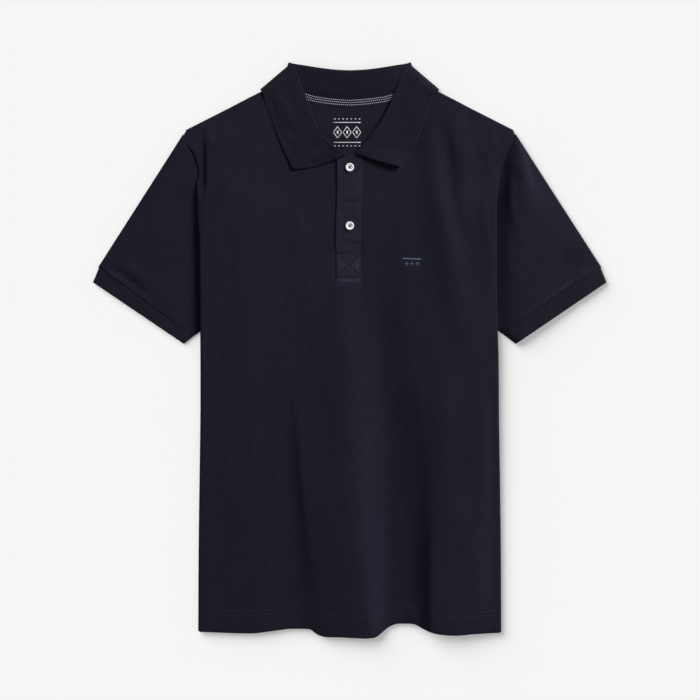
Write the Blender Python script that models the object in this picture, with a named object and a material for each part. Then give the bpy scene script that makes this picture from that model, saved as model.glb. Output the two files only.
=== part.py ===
"""Men's polo shirt, size medium, buttoned and laid face up with its sides and sleeve roots tucked under.

X runs across the shirt, Y from the hem to the collar and Z up off the surface that it lies on. Plan sizes
and heights below are millimetres; a mesh turns them into metres. Every wall is given by its middle layer.
"""

import math

import bpy
import numpy as np

MILLIMETRE = 0.001

# Cloth and gaps
PIQUE_WALL = 1.2
RIB_WALL = 1.4
PLACKET_WALL = 1.4
TAPE_WALL = 1.0
SEAM_GAP = 0.35

# Levels of the middle layers
FLOOR_LEVEL = PIQUE_WALL / 2
FRONT_LEVEL = 4.6
LAYER_PITCH = PIQUE_WALL + SEAM_GAP
ROOT_HEIGHT = 3.7
EDGE_LEVEL = 7.5
SEAM_LEVEL = 4.8
PUFF_LEVEL = 6.2
FALL_LIFT = 1.8

# Outline corners of one half, as (distance from the centre line, Y)
NECK_POINT = np.array((87.4, 353.7))
SHOULDER_POINT = np.array((212.9, 289.8))
ARMPIT = np.array((134.6, 67.5))
SLEEVE_TIP = np.array((330.2, 108.7))
CUFF_TIP = np.array((337.0, 89.4))
CUFF_HEEL = np.array((217.6, 7.8))
UNDERARM_CORNER = {-1: np.array((206.0, 17.0)), 1: np.array((200.8, 20.7))}

HEM_Y = -370.0
SLIT_HALF = 14.0
SLIT_Y = 104.8
SLIT_TOP_Y = 254.0
SHOULDER_ROLL = 1.9
CUFF_FOLD = 1.8
CUFF_STEP = 1.2
UNDERARM_FOLD = 0.95
SLEEVE_FOLD = 2.0
BACK_HEM_RISE = 4.0
BACK_NEST = 2 * PIQUE_WALL + SEAM_GAP
FRONT_NECK_CLEAR = 1.2
BACK_NECK_CLEAR = 1.0

# Placket, buttons and neck tape
PLACKET_LEFT = -17.7
PLACKET_RIGHT = 16.9
PLACKET_BOTTOM = 84.0
PLACKET_TOP = 256.0
UNDER_BAND_MARGIN = 3.5
UNDER_BAND_BOTTOM = 98.8
UNDER_BAND_TOP = 251.0
BUTTON_YS = (239.3, 162.7)
BUTTON_THICKNESS = 2.4
BUTTON_SIDES = 28
BUTTON_HOLES = 4
BUTTON_HOLE_RADIUS = 0.8
BUTTON_HOLE_REACH = 1.9
BUTTON_HOLE_SIDES = 12
TAPE_HALF_LENGTH = 59.5
TAPE_RISE = 5.5
TAPE_DROP = 5.0
TAPE_LOW_LEVEL = 4.0
TAPE_HIGH_LEVEL = 5.1
TAPE_END_DROP = 0.75

# Cells across and along each piece
FRONT_CELLS = 12
SHOULDER_CELLS = 5
BACK_NECK_CELLS = 5
FOLD_CELLS = 3
SLIT_ROWS = 4
NECK_START = 4
SLEEVE_COLUMNS = 9
CUFF_COLUMNS = 8
CUFF_ROWS = 3
TUBE_FOLD_POINTS = 3
TAPE_POINTS = 13
PLACKET_COLUMNS = 5
PLACKET_ROWS = 14
UNDER_BAND_ROWS = 10

# Rows of the front and the back, up from the hem, and those beside the armhole
BODY_ROWS = np.array((HEM_Y, HEM_Y + 27, -290, -236, -182, -128, -76, -32, -12, 10, 40, 70))
ARM_ROWS = np.array((104.8, 134.0, 164.0, 194.0, 218.0, 234.0, 248.0, 260.0, 270.0, 278.5, 286.6))


def table(names, *rows):
    """A chart with one array for each named column."""
    return dict(zip(names.split(), np.array(rows, float).T))


# Side outline of the laid body: half width, and how much cloth is tucked under there
BODY_EDGE = table(
    "y half tuck",
    (-376.0, 198.9, 60.0),
    (-249.0, 198.2, 60.0),
    (-92.0, 196.0, 60.0),
    (67.5, 194.5, 60.0),
    (105.0, 194.4, 46.0),
    (145.0, 194.2, 34.0),
    (180.0, 194.5, 23.0),
    (200.0, 195.2, 12.0),
    (218.0, 196.0, 5.0),
    (238.0, 198.0, 3.0),
    (258.0, 207.0, 3.0),
    (270.0, 213.2, 3.0),
    (281.0, 217.0, 3.0),
    (289.8, 212.9, 3.0),
)

# Wave of the hem: how far its edge lies above HEM_Y
HEM_WAVE = table(
    "x rise",
    (-194.0, 1.3),
    (-130.7, -0.7),
    (-99.0, 2.6),
    (-75.6, 5.2),
    (-54.0, 5.2),
    (-41.0, -2.6),
    (-28.5, -5.2),
    (3.0, -5.2),
    (19.0, -6.6),
    (32.0, -5.9),
    (42.0, 0.0),
    (50.0, 6.6),
    (66.0, 11.8),
    (82.0, 11.8),
    (97.0, 5.2),
    (113.0, 0.0),
    (141.0, -2.6),
    (160.0, -1.3),
    (194.0, 0.0),
)

# Largest folds of the front: a straight crest or trough from one end to the other
FRONT_FOLDS = table(
    "x0 y0 x1 y1 width height",
    (29.0, -390.0, 8.0, 70.0, 30.0, 3.0),
    (116.0, -390.0, 104.0, 10.0, 24.0, 3.6),
    (78.0, -390.0, 74.0, -60.0, 18.0, -2.2),
    (-58.0, -390.0, -72.0, -90.0, 18.0, -1.8),
    (152.0, -170.0, 140.0, 90.0, 18.0, 1.4),
    (152.0, 50.0, 128.0, 240.0, 16.0, 1.2),
    (-120.0, -390.0, -125.0, -60.0, 30.0, 1.2),
)

# Collar sections of one half, from the front end of the leaf round to the centre back: the neck seam, the
# fold and the free edge, each as distance from the centre line, Y and level. Bend is the fold's radius, and
# turn goes from 0 where the leaf lies on the stand to 180 where it lies under it. The last three columns
# move the right leaf's fold and edge away from the left one's mirror.
COLLAR = table(
    "seam_x seam_y seam_z fold_x fold_y fold_z edge_x edge_y edge_z bend turn fold_dx edge_dx edge_dy",
    (11.5, 248.9, 8.00, 4.9, 257.5, 8.95, 73.7, 237.8, 8.5, 0.95, 0, 4.6, -7.9, 2.0),
    (24.6, 254.1, 7.90, 16.7, 261.3, 8.90, 77.2, 245.6, 7.8, 1.00, 0, -3.5, -7.6, 1.0),
    (45.5, 265.9, 5.60, 31.1, 273.8, 7.40, 83.5, 258.1, 7.4, 1.15, 0, -8.0, -5.8, 0.0),
    (62.6, 288.2, 5.00, 44.9, 296.1, 6.90, 92.0, 277.7, 7.1, 1.20, 0, -5.0, -3.4, 0.0),
    (75.7, 314.4, 5.00, 56.0, 323.6, 6.90, 101.9, 303.9, 7.0, 1.20, 0, -1.5, -4.4, 0.0),
    (83.5, 334.1, 5.00, 65.8, 351.1, 6.60, 109.1, 322.3, 7.1, 1.20, 5, -1.0, -5.0, 0.0),
    (86.8, 348.5, 4.80, 73.8, 369.0, 5.50, 113.6, 336.0, 7.4, 1.25, 30, -2.0, -3.6, 0.0),
    (87.3, 352.4, 4.40, 77.6, 374.0, 4.50, 115.9, 339.9, 6.0, 1.30, 60, -1.0, -1.2, 0.0),
    (87.4, 353.7, 3.60, 79.2, 375.5, 3.50, 117.0, 341.7, 3.3, 1.30, 90, 0.0, 0.0, 0.0),
    (87.0, 352.5, 3.00, 77.8, 374.9, 2.70, 115.2, 339.5, 0.8, 1.30, 130, 0.0, 0.0, 0.0),
    (86.1, 350.0, 2.70, 74.3, 374.0, 2.90, 111.0, 334.1, 0.7, 1.30, 155, 0.0, 0.0, 0.0),
    (75.7, 339.3, 2.50, 59.9, 371.4, 3.40, 84.8, 317.0, 0.7, 1.30, 175, 0.0, 0.0, 0.0),
    (52.1, 329.5, 2.50, 39.0, 367.8, 6.10, 49.5, 315.7, 0.7, 1.30, 180, 0.0, 0.0, 0.0),
    (25.9, 324.9, 2.50, 19.3, 365.4, 7.40, 23.3, 315.7, 0.7, 1.30, 180, 0.0, 0.0, 0.0),
    (0.0, 322.9, 2.50, 0.0, 364.5, 7.40, 0.0, 315.7, 0.7, 1.30, 180, 0.0, 0.0, 0.0),
)
COLLAR_STEPS = (2, 2, 2, 2, 2, 2, 1, 1, 1, 1, 2, 2, 2, 2)
COLLAR_CORNER = 8
LEAF_BOW = {-1: 5.6, 1: 1.3}

# Turned outline of a button, from its underside over the rim to the sunk middle
BUTTON_PROFILE = table(
    "radius height",
    (5.05, 0.0),
    (5.75, 0.9),
    (5.50, 2.1),
    (5.30, 2.4),
    (4.85, 2.2),
    (4.31, 1.5),
)

# Linear base colour and roughness of each finish
FINISHES = {
    "pique_navy": ((0.0123, 0.0123, 0.0194, 1.0), 0.9),
    "rib_navy": ((0.0116, 0.0116, 0.0176, 1.0), 0.9),
    "tape_navy": ((0.02, 0.02, 0.035, 1.0), 0.8),
    "button_white": ((0.83, 0.83, 0.83, 1.0), 0.35),
}


# ---- curves and levels ----


def ramp(value, low, high):
    """Smooth step from 0 at low to 1 at high."""
    t = np.clip((np.asarray(value, float) - low) / (high - low), 0.0, 1.0)
    return t * t * (3.0 - 2.0 * t)


def mix(first, second, share):
    return first + (second - first) * share


def read(chart, key, column, at):
    """The column's value at places along the key column, as a smooth curve through the rows."""
    keys = chart[key]
    values = chart[column]
    chords = np.diff(values) / np.diff(keys)
    before = np.append(chords[:1], chords)
    after = np.append(chords, chords[-1:])
    steepest = 2.0 * np.minimum(np.abs(before), np.abs(after))
    slopes = np.clip((before + after) / 2, -steepest, steepest) * (before * after > 0)
    at = np.clip(np.asarray(at, float), keys[0], keys[-1])
    cell = np.clip(np.searchsorted(keys, at, side="right") - 1, 0, len(keys) - 2)
    span = keys[cell + 1] - keys[cell]
    t = (at - keys[cell]) / span
    start = (1 + 2 * t) * (1 - t) ** 2 * values[cell] + t * (1 - t) ** 2 * span * slopes[cell]
    end = t * t * (3 - 2 * t) * values[cell + 1] - t * t * (1 - t) * span * slopes[cell + 1]
    return start + end


def body_half(y):
    """Half width of the laid body, to the outside of its side fold."""
    return read(BODY_EDGE, "y", "half", y)


def tuck_depth(y):
    return read(BODY_EDGE, "y", "tuck", y)


def beside_line(x, y, start, end):
    """Distance from a line of the outline, positive towards the middle of the sleeve."""
    along = (end - start) / np.linalg.norm(end - start)
    return (np.abs(x) - start[0]) * along[1] - (y - start[1]) * along[0]


def inside_underarm(x, y):
    return beside_line(x, y, UNDERARM_CORNER[-1], ARMPIT)


def inside_outer_edge(x, y):
    return beside_line(x, y, SHOULDER_POINT, SLEEVE_TIP)


def below_shoulder(x, y):
    return beside_line(x, y, NECK_POINT, SHOULDER_POINT)


def tucked(y, start=236.0):
    """1 where the body is tucked under, 0 beside the top of the armhole, where its seam shows."""
    return 1.0 - ramp(y, start, start + 26.0)


def back_tucked(y):
    return tucked(y, 222.0)


def over_sleeve(y):
    """1 where the tucked strip lies on the sleeve's root, 0 where it lies on the floor."""
    return ramp(y, -30.0, 10.0)


def front_strip_level(y):
    over_floor = FLOOR_LEVEL + ROOT_HEIGHT * over_sleeve(y)
    return mix(FLOOR_LEVEL + LAYER_PITCH, over_floor, tucked(y))


def back_strip_level(y):
    return FLOOR_LEVEL + LAYER_PITCH + 0.05 + ROOT_HEIGHT * over_sleeve(y)


def front_edge_level(y):
    return mix(SEAM_LEVEL, EDGE_LEVEL + 2.5 * over_sleeve(y), tucked(y))


def back_edge_level(y):
    return mix(FLOOR_LEVEL, EDGE_LEVEL - 1.8 + 2.6 * over_sleeve(y), back_tucked(y))


def hem_wave(x, y):
    """How far the hem's wave moves a point up the shirt, fading out above the hem."""
    return read(HEM_WAVE, "x", "rise", x) * (1.0 - ramp(y - HEM_Y, 0.0, 110.0))


def fold_relief(x, y):
    """Rise of the front's folds above its plain level."""
    total = np.zeros(np.broadcast(x, y).shape)
    for x0, y0, x1, y1, width, height in zip(*FRONT_FOLDS.values()):
        along = np.clip((y - y0) / (y1 - y0), -0.2, 1.2)
        centre = mix(x0, x1, along)
        ends = ramp(along, 1.15, 0.75)
        total = total + height * np.exp(-(((x - centre) / width) ** 2)) * ends
    return total * ramp(np.abs(x), 185.0, 165.0)


def fall_lift(x, y):
    """How far the back is raised where it lies on the collar's fall."""
    return FALL_LIFT * ramp(y, 262.0, 290.0) * ramp(np.abs(x), 150.0, 128.0)


def back_level(x, y):
    sides = ramp(np.abs(x), 92.0, 130.0)
    return mix(FLOOR_LEVEL, back_edge_level(y), sides) + fall_lift(x, y)


def shoulder_level(x, y):
    """Level of the front at its shoulder seam, so that its rolled edge ends on the back."""
    lift = fall_lift(np.abs(x) - 8.0, y)
    return FLOOR_LEVEL + lift + PIQUE_WALL / 2 + SEAM_GAP + SHOULDER_ROLL


def front_level(x, y):
    sides = ramp(np.abs(x), 60.0, 134.0)
    plain = mix(FRONT_LEVEL, front_edge_level(y), sides) + fold_relief(x, y)
    return mix(shoulder_level(x, y), plain, ramp(below_shoulder(x, y), 0.0, 40.0))


def sleeve_level(x, y):
    """Level of the sleeve's upper layer."""
    outward = np.abs(x) - body_half(y)
    root = mix(front_level(body_half(y), y), FLOOR_LEVEL + 2 * UNDERARM_FOLD, tucked(y))
    puff = mix(root, PUFF_LEVEL, ramp(outward, 0.0, 48.0))
    by_fold = mix(FLOOR_LEVEL + 2 * SLEEVE_FOLD, puff, ramp(inside_outer_edge(x, y), 0.0, 30.0))
    by_body = mix(by_fold, root, ramp(outward, 22.0, 2.0))
    return mix(FLOOR_LEVEL + 2 * UNDERARM_FOLD, by_body, ramp(inside_underarm(x, y), 0.0, 26.0))


# ---- meshes ----


def material(name):
    made = bpy.data.materials.get(name)
    if made is None:
        made = bpy.data.materials.new(name)
        made.use_nodes = True
        colour, roughness = FINISHES[name]
        shader = made.node_tree.nodes["Principled BSDF"]
        shader.inputs["Base Color"].default_value = colour
        shader.inputs["Roughness"].default_value = roughness
        made.diffuse_color = colour
    return made


def cell_corners(rows, columns, ring):
    """Vertex numbers of every cell of a grid, counter-clockwise seen from its outer side."""
    numbers = np.arange(rows * columns).reshape(rows, columns)
    if ring:
        numbers = np.hstack([numbers, numbers[:, :1]])
    return np.stack([numbers[:-1, :-1], numbers[:-1, 1:], numbers[1:, 1:], numbers[1:, :-1]], axis=-1)


def vertex_normals(points, cells):
    diagonal = points[cells[:, 2]] - points[cells[:, 0]]
    other = points[cells[:, 3]] - points[cells[:, 1]]
    faces = np.cross(diagonal, other)
    faces /= np.linalg.norm(faces, axis=1)[:, None]
    normals = np.zeros_like(points)
    for corner in range(4):
        np.add.at(normals, cells[:, corner], faces)
    lengths = np.linalg.norm(normals, axis=1)
    lengths[lengths == 0] = 1.0
    return normals / lengths[:, None]


def cloth(name, grid, wall, finish, keep=None, ring=False):
    """A closed cloth wall on a grid of middle-layer points. keep marks the cells that hold cloth."""
    rows, columns = grid.shape[:2]
    points = grid.reshape(-1, 3)
    corners = cell_corners(rows, columns, ring)
    if keep is None:
        keep = np.ones(corners.shape[:2], bool)
    cells = corners[keep]
    normals = vertex_normals(points, cells)
    outer = points + normals * wall / 2
    inner = points - normals * wall / 2
    count = len(points)
    faces = [tuple(cell) for cell in cells]
    faces += [tuple(cell[::-1] + count) for cell in cells]
    sides = {}
    for cell in cells:
        for start, end in zip(cell, np.roll(cell, -1)):
            sides[(start, end)] = True
    for start, end in sides:
        if (end, start) not in sides:
            faces.append((end, start, start + count, end + count))
    used = np.unique(np.concatenate([cells.ravel(), cells.ravel() + count]))
    renumber = np.full(2 * count, -1)
    renumber[used] = np.arange(len(used))
    vertices = np.vstack([outer, inner])[used] * MILLIMETRE
    mesh = bpy.data.meshes.new(name)
    mesh.from_pydata(vertices.tolist(), [], [[int(renumber[v]) for v in face] for face in faces])
    mesh.update()
    mesh.shade_smooth()
    mesh.set_sharp_from_angle(angle=math.radians(50))
    mesh.materials.append(material(finish))
    made = bpy.data.objects.new(name, mesh)
    bpy.context.collection.objects.link(made)
    return made


def patch(bottom, top, inner, outer):
    """Plan points filling four edges: rows run from bottom to top, columns from inner to outer."""
    v = np.linspace(0, 1, len(inner))[:, None, None]
    u = np.linspace(0, 1, len(bottom))[None, :, None]
    between = (1 - v) * bottom[None] + v * top[None] + (1 - u) * inner[:, None] + u * outer[:, None]
    corners = (1 - u) * (1 - v) * bottom[0] + u * (1 - v) * bottom[-1]
    return between - corners - (1 - u) * v * top[0] - u * v * top[-1]


def line(start, end, count):
    return np.linspace(np.asarray(start, float), np.asarray(end, float), count)


def with_level(plan, level, side=1):
    x = plan[..., 0] * side
    return np.stack([x, plan[..., 1], level(x, plan[..., 1])], axis=-1)


# ---- neck seam and shoulder ----


def collar_sections(side):
    """The chart's sections of one half, with smooth ones between, as a chart again."""
    place = np.arange(len(COLLAR["turn"]), dtype=float)
    chart = {"place": place}
    for name, values in COLLAR.items():
        chart[name] = values
    steps = [np.linspace(i, i + 1, n, endpoint=False) for i, n in enumerate(COLLAR_STEPS)]
    at = np.append(np.concatenate(steps), place[-1])
    full = {name: read(chart, "place", name, at) for name in COLLAR}
    if side > 0:
        full["fold_x"] = full["fold_x"] + full["fold_dx"]
        full["edge_x"] = full["edge_x"] + full["edge_dx"]
        full["edge_y"] = full["edge_y"] + full["edge_dy"]
    return full


def neck_seam(first, last, clear):
    """Plan points of the neck seam between two chart rows, moved away from the collar."""
    full = collar_sections(-1)
    counts = np.concatenate([[0], np.cumsum(COLLAR_STEPS)])
    pick = slice(counts[first], counts[last] + 1)
    seam = np.stack([full["seam_x"][pick], full["seam_y"][pick]], axis=-1)
    fold = np.stack([full["fold_x"][pick], full["fold_y"][pick]], axis=-1)
    away = seam - fold
    return seam + clear * away / np.linalg.norm(away, axis=1)[:, None]


def unit(vector):
    return vector / np.linalg.norm(vector)


# ---- front and back ----


def wrapped(fold_plan, level, strip_level, side, inset):
    """Points from a side fold round and under to the edge of the tucked strip."""
    y = fold_plan[:, 1]
    top = level(side * fold_plan[:, 0], y)
    outside = body_half(y) - inset
    radius = (top - strip_level(y)) / 2
    centre = outside - radius
    columns = []
    for k in range(1, FOLD_CELLS + 1):
        angle = math.pi * k / FOLD_CELLS
        columns.append((centre + radius * math.sin(angle), top - radius * (1 - math.cos(angle))))
    reach = np.maximum(tuck_depth(y) - (body_half(y) - centre), 1.5)
    columns.append((centre - reach, strip_level(y)))
    return np.stack([np.stack([x * side, y, z], axis=-1) for x, z in columns], axis=1)


def fold_start(y, level, strip_level, inset):
    """Where the upper layer ends and the side fold begins."""
    outside = body_half(y) - inset
    radius = (level(outside, y) - strip_level(y)) / 2
    return outside - radius


def front_half(side):
    """Grid of half the front, from the centre out and under, and from the hem to the shoulder."""
    wall = PIQUE_WALL / 2
    neck = neck_seam(0, COLLAR_CORNER, FRONT_NECK_CLEAR)
    slit = line((SLIT_HALF, SLIT_Y), (SLIT_HALF, SLIT_TOP_Y), SLIT_ROWS)
    neck_rows = len(ARM_ROWS) - SLIT_ROWS
    pick = np.round(np.linspace(NECK_START, len(neck) - 1, neck_rows)).astype(int)
    inner = np.vstack([slit, neck[pick]])
    outer = np.stack([fold_start(ARM_ROWS, front_level, front_strip_level, wall), ARM_ROWS], axis=-1)
    columns = FRONT_CELLS + 1
    bottom = line(inner[0], outer[0], columns)
    along = unit(SHOULDER_POINT - NECK_POINT)
    inwards = np.array((along[1], -along[0]))
    neck_corner = NECK_POINT + inwards * (SHOULDER_ROLL + wall) + along * 2.0
    inner[-1] = neck_corner
    top = line(neck_corner, outer[-1], columns)
    upper = patch(bottom, top, inner, outer)
    lower = []
    for row in BODY_ROWS:
        edge = fold_start(row, front_level, front_strip_level, wall)
        lower.append(line((SLIT_HALF, row), (edge, row), columns))
    plan = np.vstack([np.array(lower), upper])
    plan[..., 1] += hem_wave(side * plan[..., 0], plan[..., 1])
    sheet = with_level(plan, front_level, side)
    grid = np.hstack([sheet, wrapped(plan[:, -1], front_level, front_strip_level, side, wall)])
    rolls = []
    for angle in (math.radians(45), math.radians(90)):
        turned = grid[-1].copy()
        turned[:, 0] -= side * inwards[0] * SHOULDER_ROLL * math.sin(angle)
        turned[:, 1] -= inwards[1] * SHOULDER_ROLL * math.sin(angle)
        turned[:, 2] -= SHOULDER_ROLL * (1 - math.cos(angle))
        rolls.append(turned)
    return np.vstack([grid, np.array(rolls)])


def front():
    right = front_half(1)
    left = front_half(-1)
    grid = np.hstack([left[:, ::-1], right])
    keep = np.ones((grid.shape[0] - 1, grid.shape[1] - 1), bool)
    half = right.shape[1]
    keep[len(BODY_ROWS) :, half - 1] = False
    wraps = FOLD_CELLS + 1
    keep[-2:, :wraps] = False
    keep[-2:, -wraps:] = False
    return cloth("front", grid, PIQUE_WALL, "pique_navy", keep)


def back_half(side):
    """Grid of half the back, from the centre out and under. Only its tucked rows have a strip."""
    body_rows = BODY_ROWS + np.array([BACK_HEM_RISE] * 2 + [0.0] * (len(BODY_ROWS) - 2))
    neck = neck_seam(COLLAR_CORNER, len(COLLAR_STEPS), BACK_NECK_CLEAR)[::-1]
    pick = np.round(np.linspace(0, len(neck) - 1, BACK_NECK_CELLS + 1)).astype(int)
    columns = BACK_NECK_CELLS + 1 + SHOULDER_CELLS
    inset = np.array((-0.3, -0.6))
    shoulder = line(NECK_POINT + inset, SHOULDER_POINT + inset, SHOULDER_CELLS + 1)
    top = np.vstack([neck[pick], shoulder[1:]])
    hidden = back_tucked(ARM_ROWS) > 0.999
    shown_edge = body_half(ARM_ROWS) - mix(5.5, 0.4, ramp(ARM_ROWS, 248.0, 270.0))
    tucked_edge = fold_start(ARM_ROWS, back_level, back_strip_level, BACK_NEST)
    outer = np.stack([np.where(hidden, tucked_edge, shown_edge), ARM_ROWS], axis=-1)
    outer[-1] = top[-1]
    inner = line((0.0, ARM_ROWS[0]), top[0], len(ARM_ROWS))
    bottom = line(inner[0], outer[0], columns)
    upper = patch(bottom, top, inner, outer)
    lower = []
    for row in body_rows:
        edge = fold_start(row, back_level, back_strip_level, BACK_NEST)
        lower.append(line((0.0, row), (edge, row), columns))
    plan = np.vstack([np.array(lower), upper])
    plan[..., 1] += hem_wave(side * plan[..., 0], plan[..., 1])
    sheet = with_level(plan, back_level, side)
    strips = wrapped(plan[:, -1], back_level, back_strip_level, side, BACK_NEST)
    return np.hstack([sheet, strips]), len(body_rows) + int(hidden.sum())


def back():
    right, tucked_rows = back_half(1)
    left, _ = back_half(-1)
    grid = np.hstack([left[:, :0:-1], right])
    keep = np.ones((grid.shape[0] - 1, grid.shape[1] - 1), bool)
    wraps = FOLD_CELLS + 1
    keep[tucked_rows - 1 :, :wraps] = False
    keep[tucked_rows - 1 :, -wraps:] = False
    return cloth("back", grid, PIQUE_WALL, "pique_navy", keep)


# ---- sleeves and cuffs ----


def tube(plan, level, floor, outer_fold, under_fold, side):
    """Rings of a flattened tube: upper layer, fold under the arm, lower layer and outer fold."""
    upper = with_level(plan, level, side)
    outwards = plan[:, 0] - plan[:, 1]
    outwards /= np.linalg.norm(outwards, axis=1)[:, None]
    armwards = plan[:, -1] - plan[:, -2]
    armwards /= np.linalg.norm(armwards, axis=1)[:, None]
    lower = upper[:, ::-2].copy()
    lower[..., 2] = floor
    rings = [upper]
    for at, away, size in ((-1, armwards, under_fold), (0, outwards, outer_fold)):
        bends = []
        height = upper[:, at, 2] - floor
        for k in range(1, TUBE_FOLD_POINTS + 1):
            angle = math.pi * k / (TUBE_FOLD_POINTS + 1)
            point = upper[:, at].copy()
            point[:, 0] += side * away[:, 0] * size * math.sin(angle)
            point[:, 1] += away[:, 1] * size * math.sin(angle)
            point[:, 2] = upper[:, at, 2] - height * (1 - math.cos(angle)) / 2
            bends.append(point)
        bends = np.stack(bends, axis=1)
        rings += [bends, lower] if at == -1 else [bends[:, ::-1]]
    grid = np.hstack(rings)
    return grid if side > 0 else grid[:, ::-1]


def arm_edge(y):
    """Where the sleeve ends at the armhole: beside the seam that shows, or under the tucked strip."""
    shown = body_half(y) + SEAM_GAP
    hidden = body_half(y) - tuck_depth(y)
    return mix(hidden, shown, ramp(y, 196.0, 220.0))


# Along the hem towards the body, along the underarm towards the armpit, and square in from that edge
HEM_DIRECTION = unit(CUFF_HEEL - CUFF_TIP)
UNDERARM_DIRECTION = unit(ARMPIT - CUFF_HEEL)
FROM_UNDERARM = np.array((UNDERARM_DIRECTION[1], -UNDERARM_DIRECTION[0]))


def sleeve(side, name):
    """A sleeve as rings from the cuff's seam up to the armhole."""
    inset = UNDERARM_FOLD + PIQUE_WALL / 2
    start = SLEEVE_TIP + HEM_DIRECTION * (SLEEVE_FOLD + PIQUE_WALL / 2)
    end = UNDERARM_CORNER[side] + FROM_UNDERARM * inset
    armpit = ARMPIT + FROM_UNDERARM * inset
    arm_y = np.append(ARM_ROWS[-2::-1], armpit[1])
    arm = np.stack([arm_edge(arm_y), arm_y], axis=-1)
    cuff_end = line(start, end, len(arm))
    outer = line(start, arm[0], SLEEVE_COLUMNS)
    plan = patch(cuff_end, arm, outer, line(end, arm[-1], SLEEVE_COLUMNS))
    grid = tube(plan, sleeve_level, FLOOR_LEVEL, SLEEVE_FOLD, UNDERARM_FOLD, side)
    return cloth(name, grid, PIQUE_WALL, "pique_navy", ring=True)


def cuff(side, name):
    """A cuff band as rings from the sleeve opening up to its seam."""
    wall = RIB_WALL / 2
    inset = UNDERARM_FOLD + wall
    down_arm = unit(CUFF_TIP - SLEEVE_TIP)
    start = SLEEVE_TIP + HEM_DIRECTION * (CUFF_STEP + CUFF_FOLD + wall) + down_arm * SEAM_GAP
    end = UNDERARM_CORNER[side] + FROM_UNDERARM * inset - UNDERARM_DIRECTION * SEAM_GAP * 2
    tip = CUFF_TIP + HEM_DIRECTION * (CUFF_FOLD + wall)
    heel = CUFF_HEEL + FROM_UNDERARM * inset
    rows = line(tip, start, CUFF_ROWS)
    ends = line(heel, end, CUFF_ROWS)
    plan = np.array([line(first, last, CUFF_COLUMNS) for first, last in zip(rows, ends)])

    def level(x, y):
        return sleeve_level(x, y) - 0.3 * ramp(inside_underarm(x, y), 2.0, 20.0) + 0.1

    grid = tube(plan, level, wall, CUFF_FOLD, UNDERARM_FOLD, side)
    return cloth(name, grid, RIB_WALL, "rib_navy", ring=True)


# ---- collar ----


def collar_half(side):
    """Grid of half the collar: a row for each section, from the neck seam over the fold to the edge."""
    full = collar_sections(side)
    sections = []
    for i in range(len(full["turn"])):
        at = {name: values[i] for name, values in full.items()}
        seam = np.array((at["seam_x"] * side, at["seam_y"], at["seam_z"]))
        fold = np.array((at["fold_x"] * side, at["fold_y"], at["fold_z"]))
        edge = np.array((at["edge_x"] * side, at["edge_y"], at["edge_z"]))
        fall = (edge - fold)[:2]
        fall /= np.linalg.norm(fall)
        bulge = np.array((-fall[0], -fall[1], 0.0))
        outward = np.array((-fall[1], fall[0])) * -side
        turn = math.radians(at["turn"])
        lean = np.array((outward[0] * math.sin(turn), outward[1] * math.sin(turn), math.cos(turn)))
        bend = at["bend"]
        stand_end = fold - lean * bend
        fall_start = fold + lean * bend
        points = [seam, stand_end]
        for angle in (math.radians(45), math.radians(90), math.radians(135)):
            points.append(fold + bulge * bend * math.sin(angle) - lean * bend * math.cos(angle))
        bow = LEAF_BOW[side] * max(0.0, 1.0 - i / 4.0)
        drop = mix(1.0, 2.2, ramp(at["turn"], 90.0, 150.0))
        for share in (0.0, 0.25, 0.5, 0.75, 1.0):
            point = mix(fall_start, edge, share)
            point[2] = mix(fall_start[2], edge[2], min(1.0, drop * share))
            point[1] -= bow * 4 * share * (1 - share)
            points.append(point)
        sections.append(points)
    return np.array(sections)


def collar():
    left = collar_half(-1)
    right = collar_half(1)
    grid = np.vstack([left, right[-2::-1]])
    return cloth("collar", grid, RIB_WALL, "rib_navy")


# ---- placket, tape and buttons ----


def flat_band(name, x_range, y_range, rows, level, wall):
    """An upright band of cloth that follows the front's level."""
    x = np.linspace(*x_range, PLACKET_COLUMNS)[None, :]
    y = np.linspace(*y_range, rows)[:, None]
    x, y = np.broadcast_arrays(x, y)
    grid = np.stack([x, y, level(x, y)], axis=-1)
    return cloth(name, grid, wall, "pique_navy")


def placket_top_level(x, y):
    return front_level(x, y) + PIQUE_WALL / 2 + SEAM_GAP + PLACKET_WALL / 2


def placket_under_level(x, y):
    return front_level(x, y) - PIQUE_WALL - SEAM_GAP


def neck_tape():
    """A band over the neck seam at the back, lying on the back and on the collar's stand."""
    seam = neck_seam(COLLAR_CORNER, len(COLLAR_STEPS), 0.0)[::-1]
    x = np.linspace(-TAPE_HALF_LENGTH, TAPE_HALF_LENGTH, TAPE_POINTS)
    middle = np.interp(np.abs(x), seam[:, 0], seam[:, 1])
    low = np.full_like(x, TAPE_LOW_LEVEL)
    high = TAPE_HIGH_LEVEL - TAPE_END_DROP * ramp(np.abs(x), 42.0, 57.0)
    edges = ((-TAPE_DROP, low), (TAPE_RISE, high))
    rows = [np.stack([x, middle + shift, level], axis=-1) for shift, level in edges]
    return cloth("neck_tape", np.array(rows), TAPE_WALL, "tape_navy")


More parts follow.
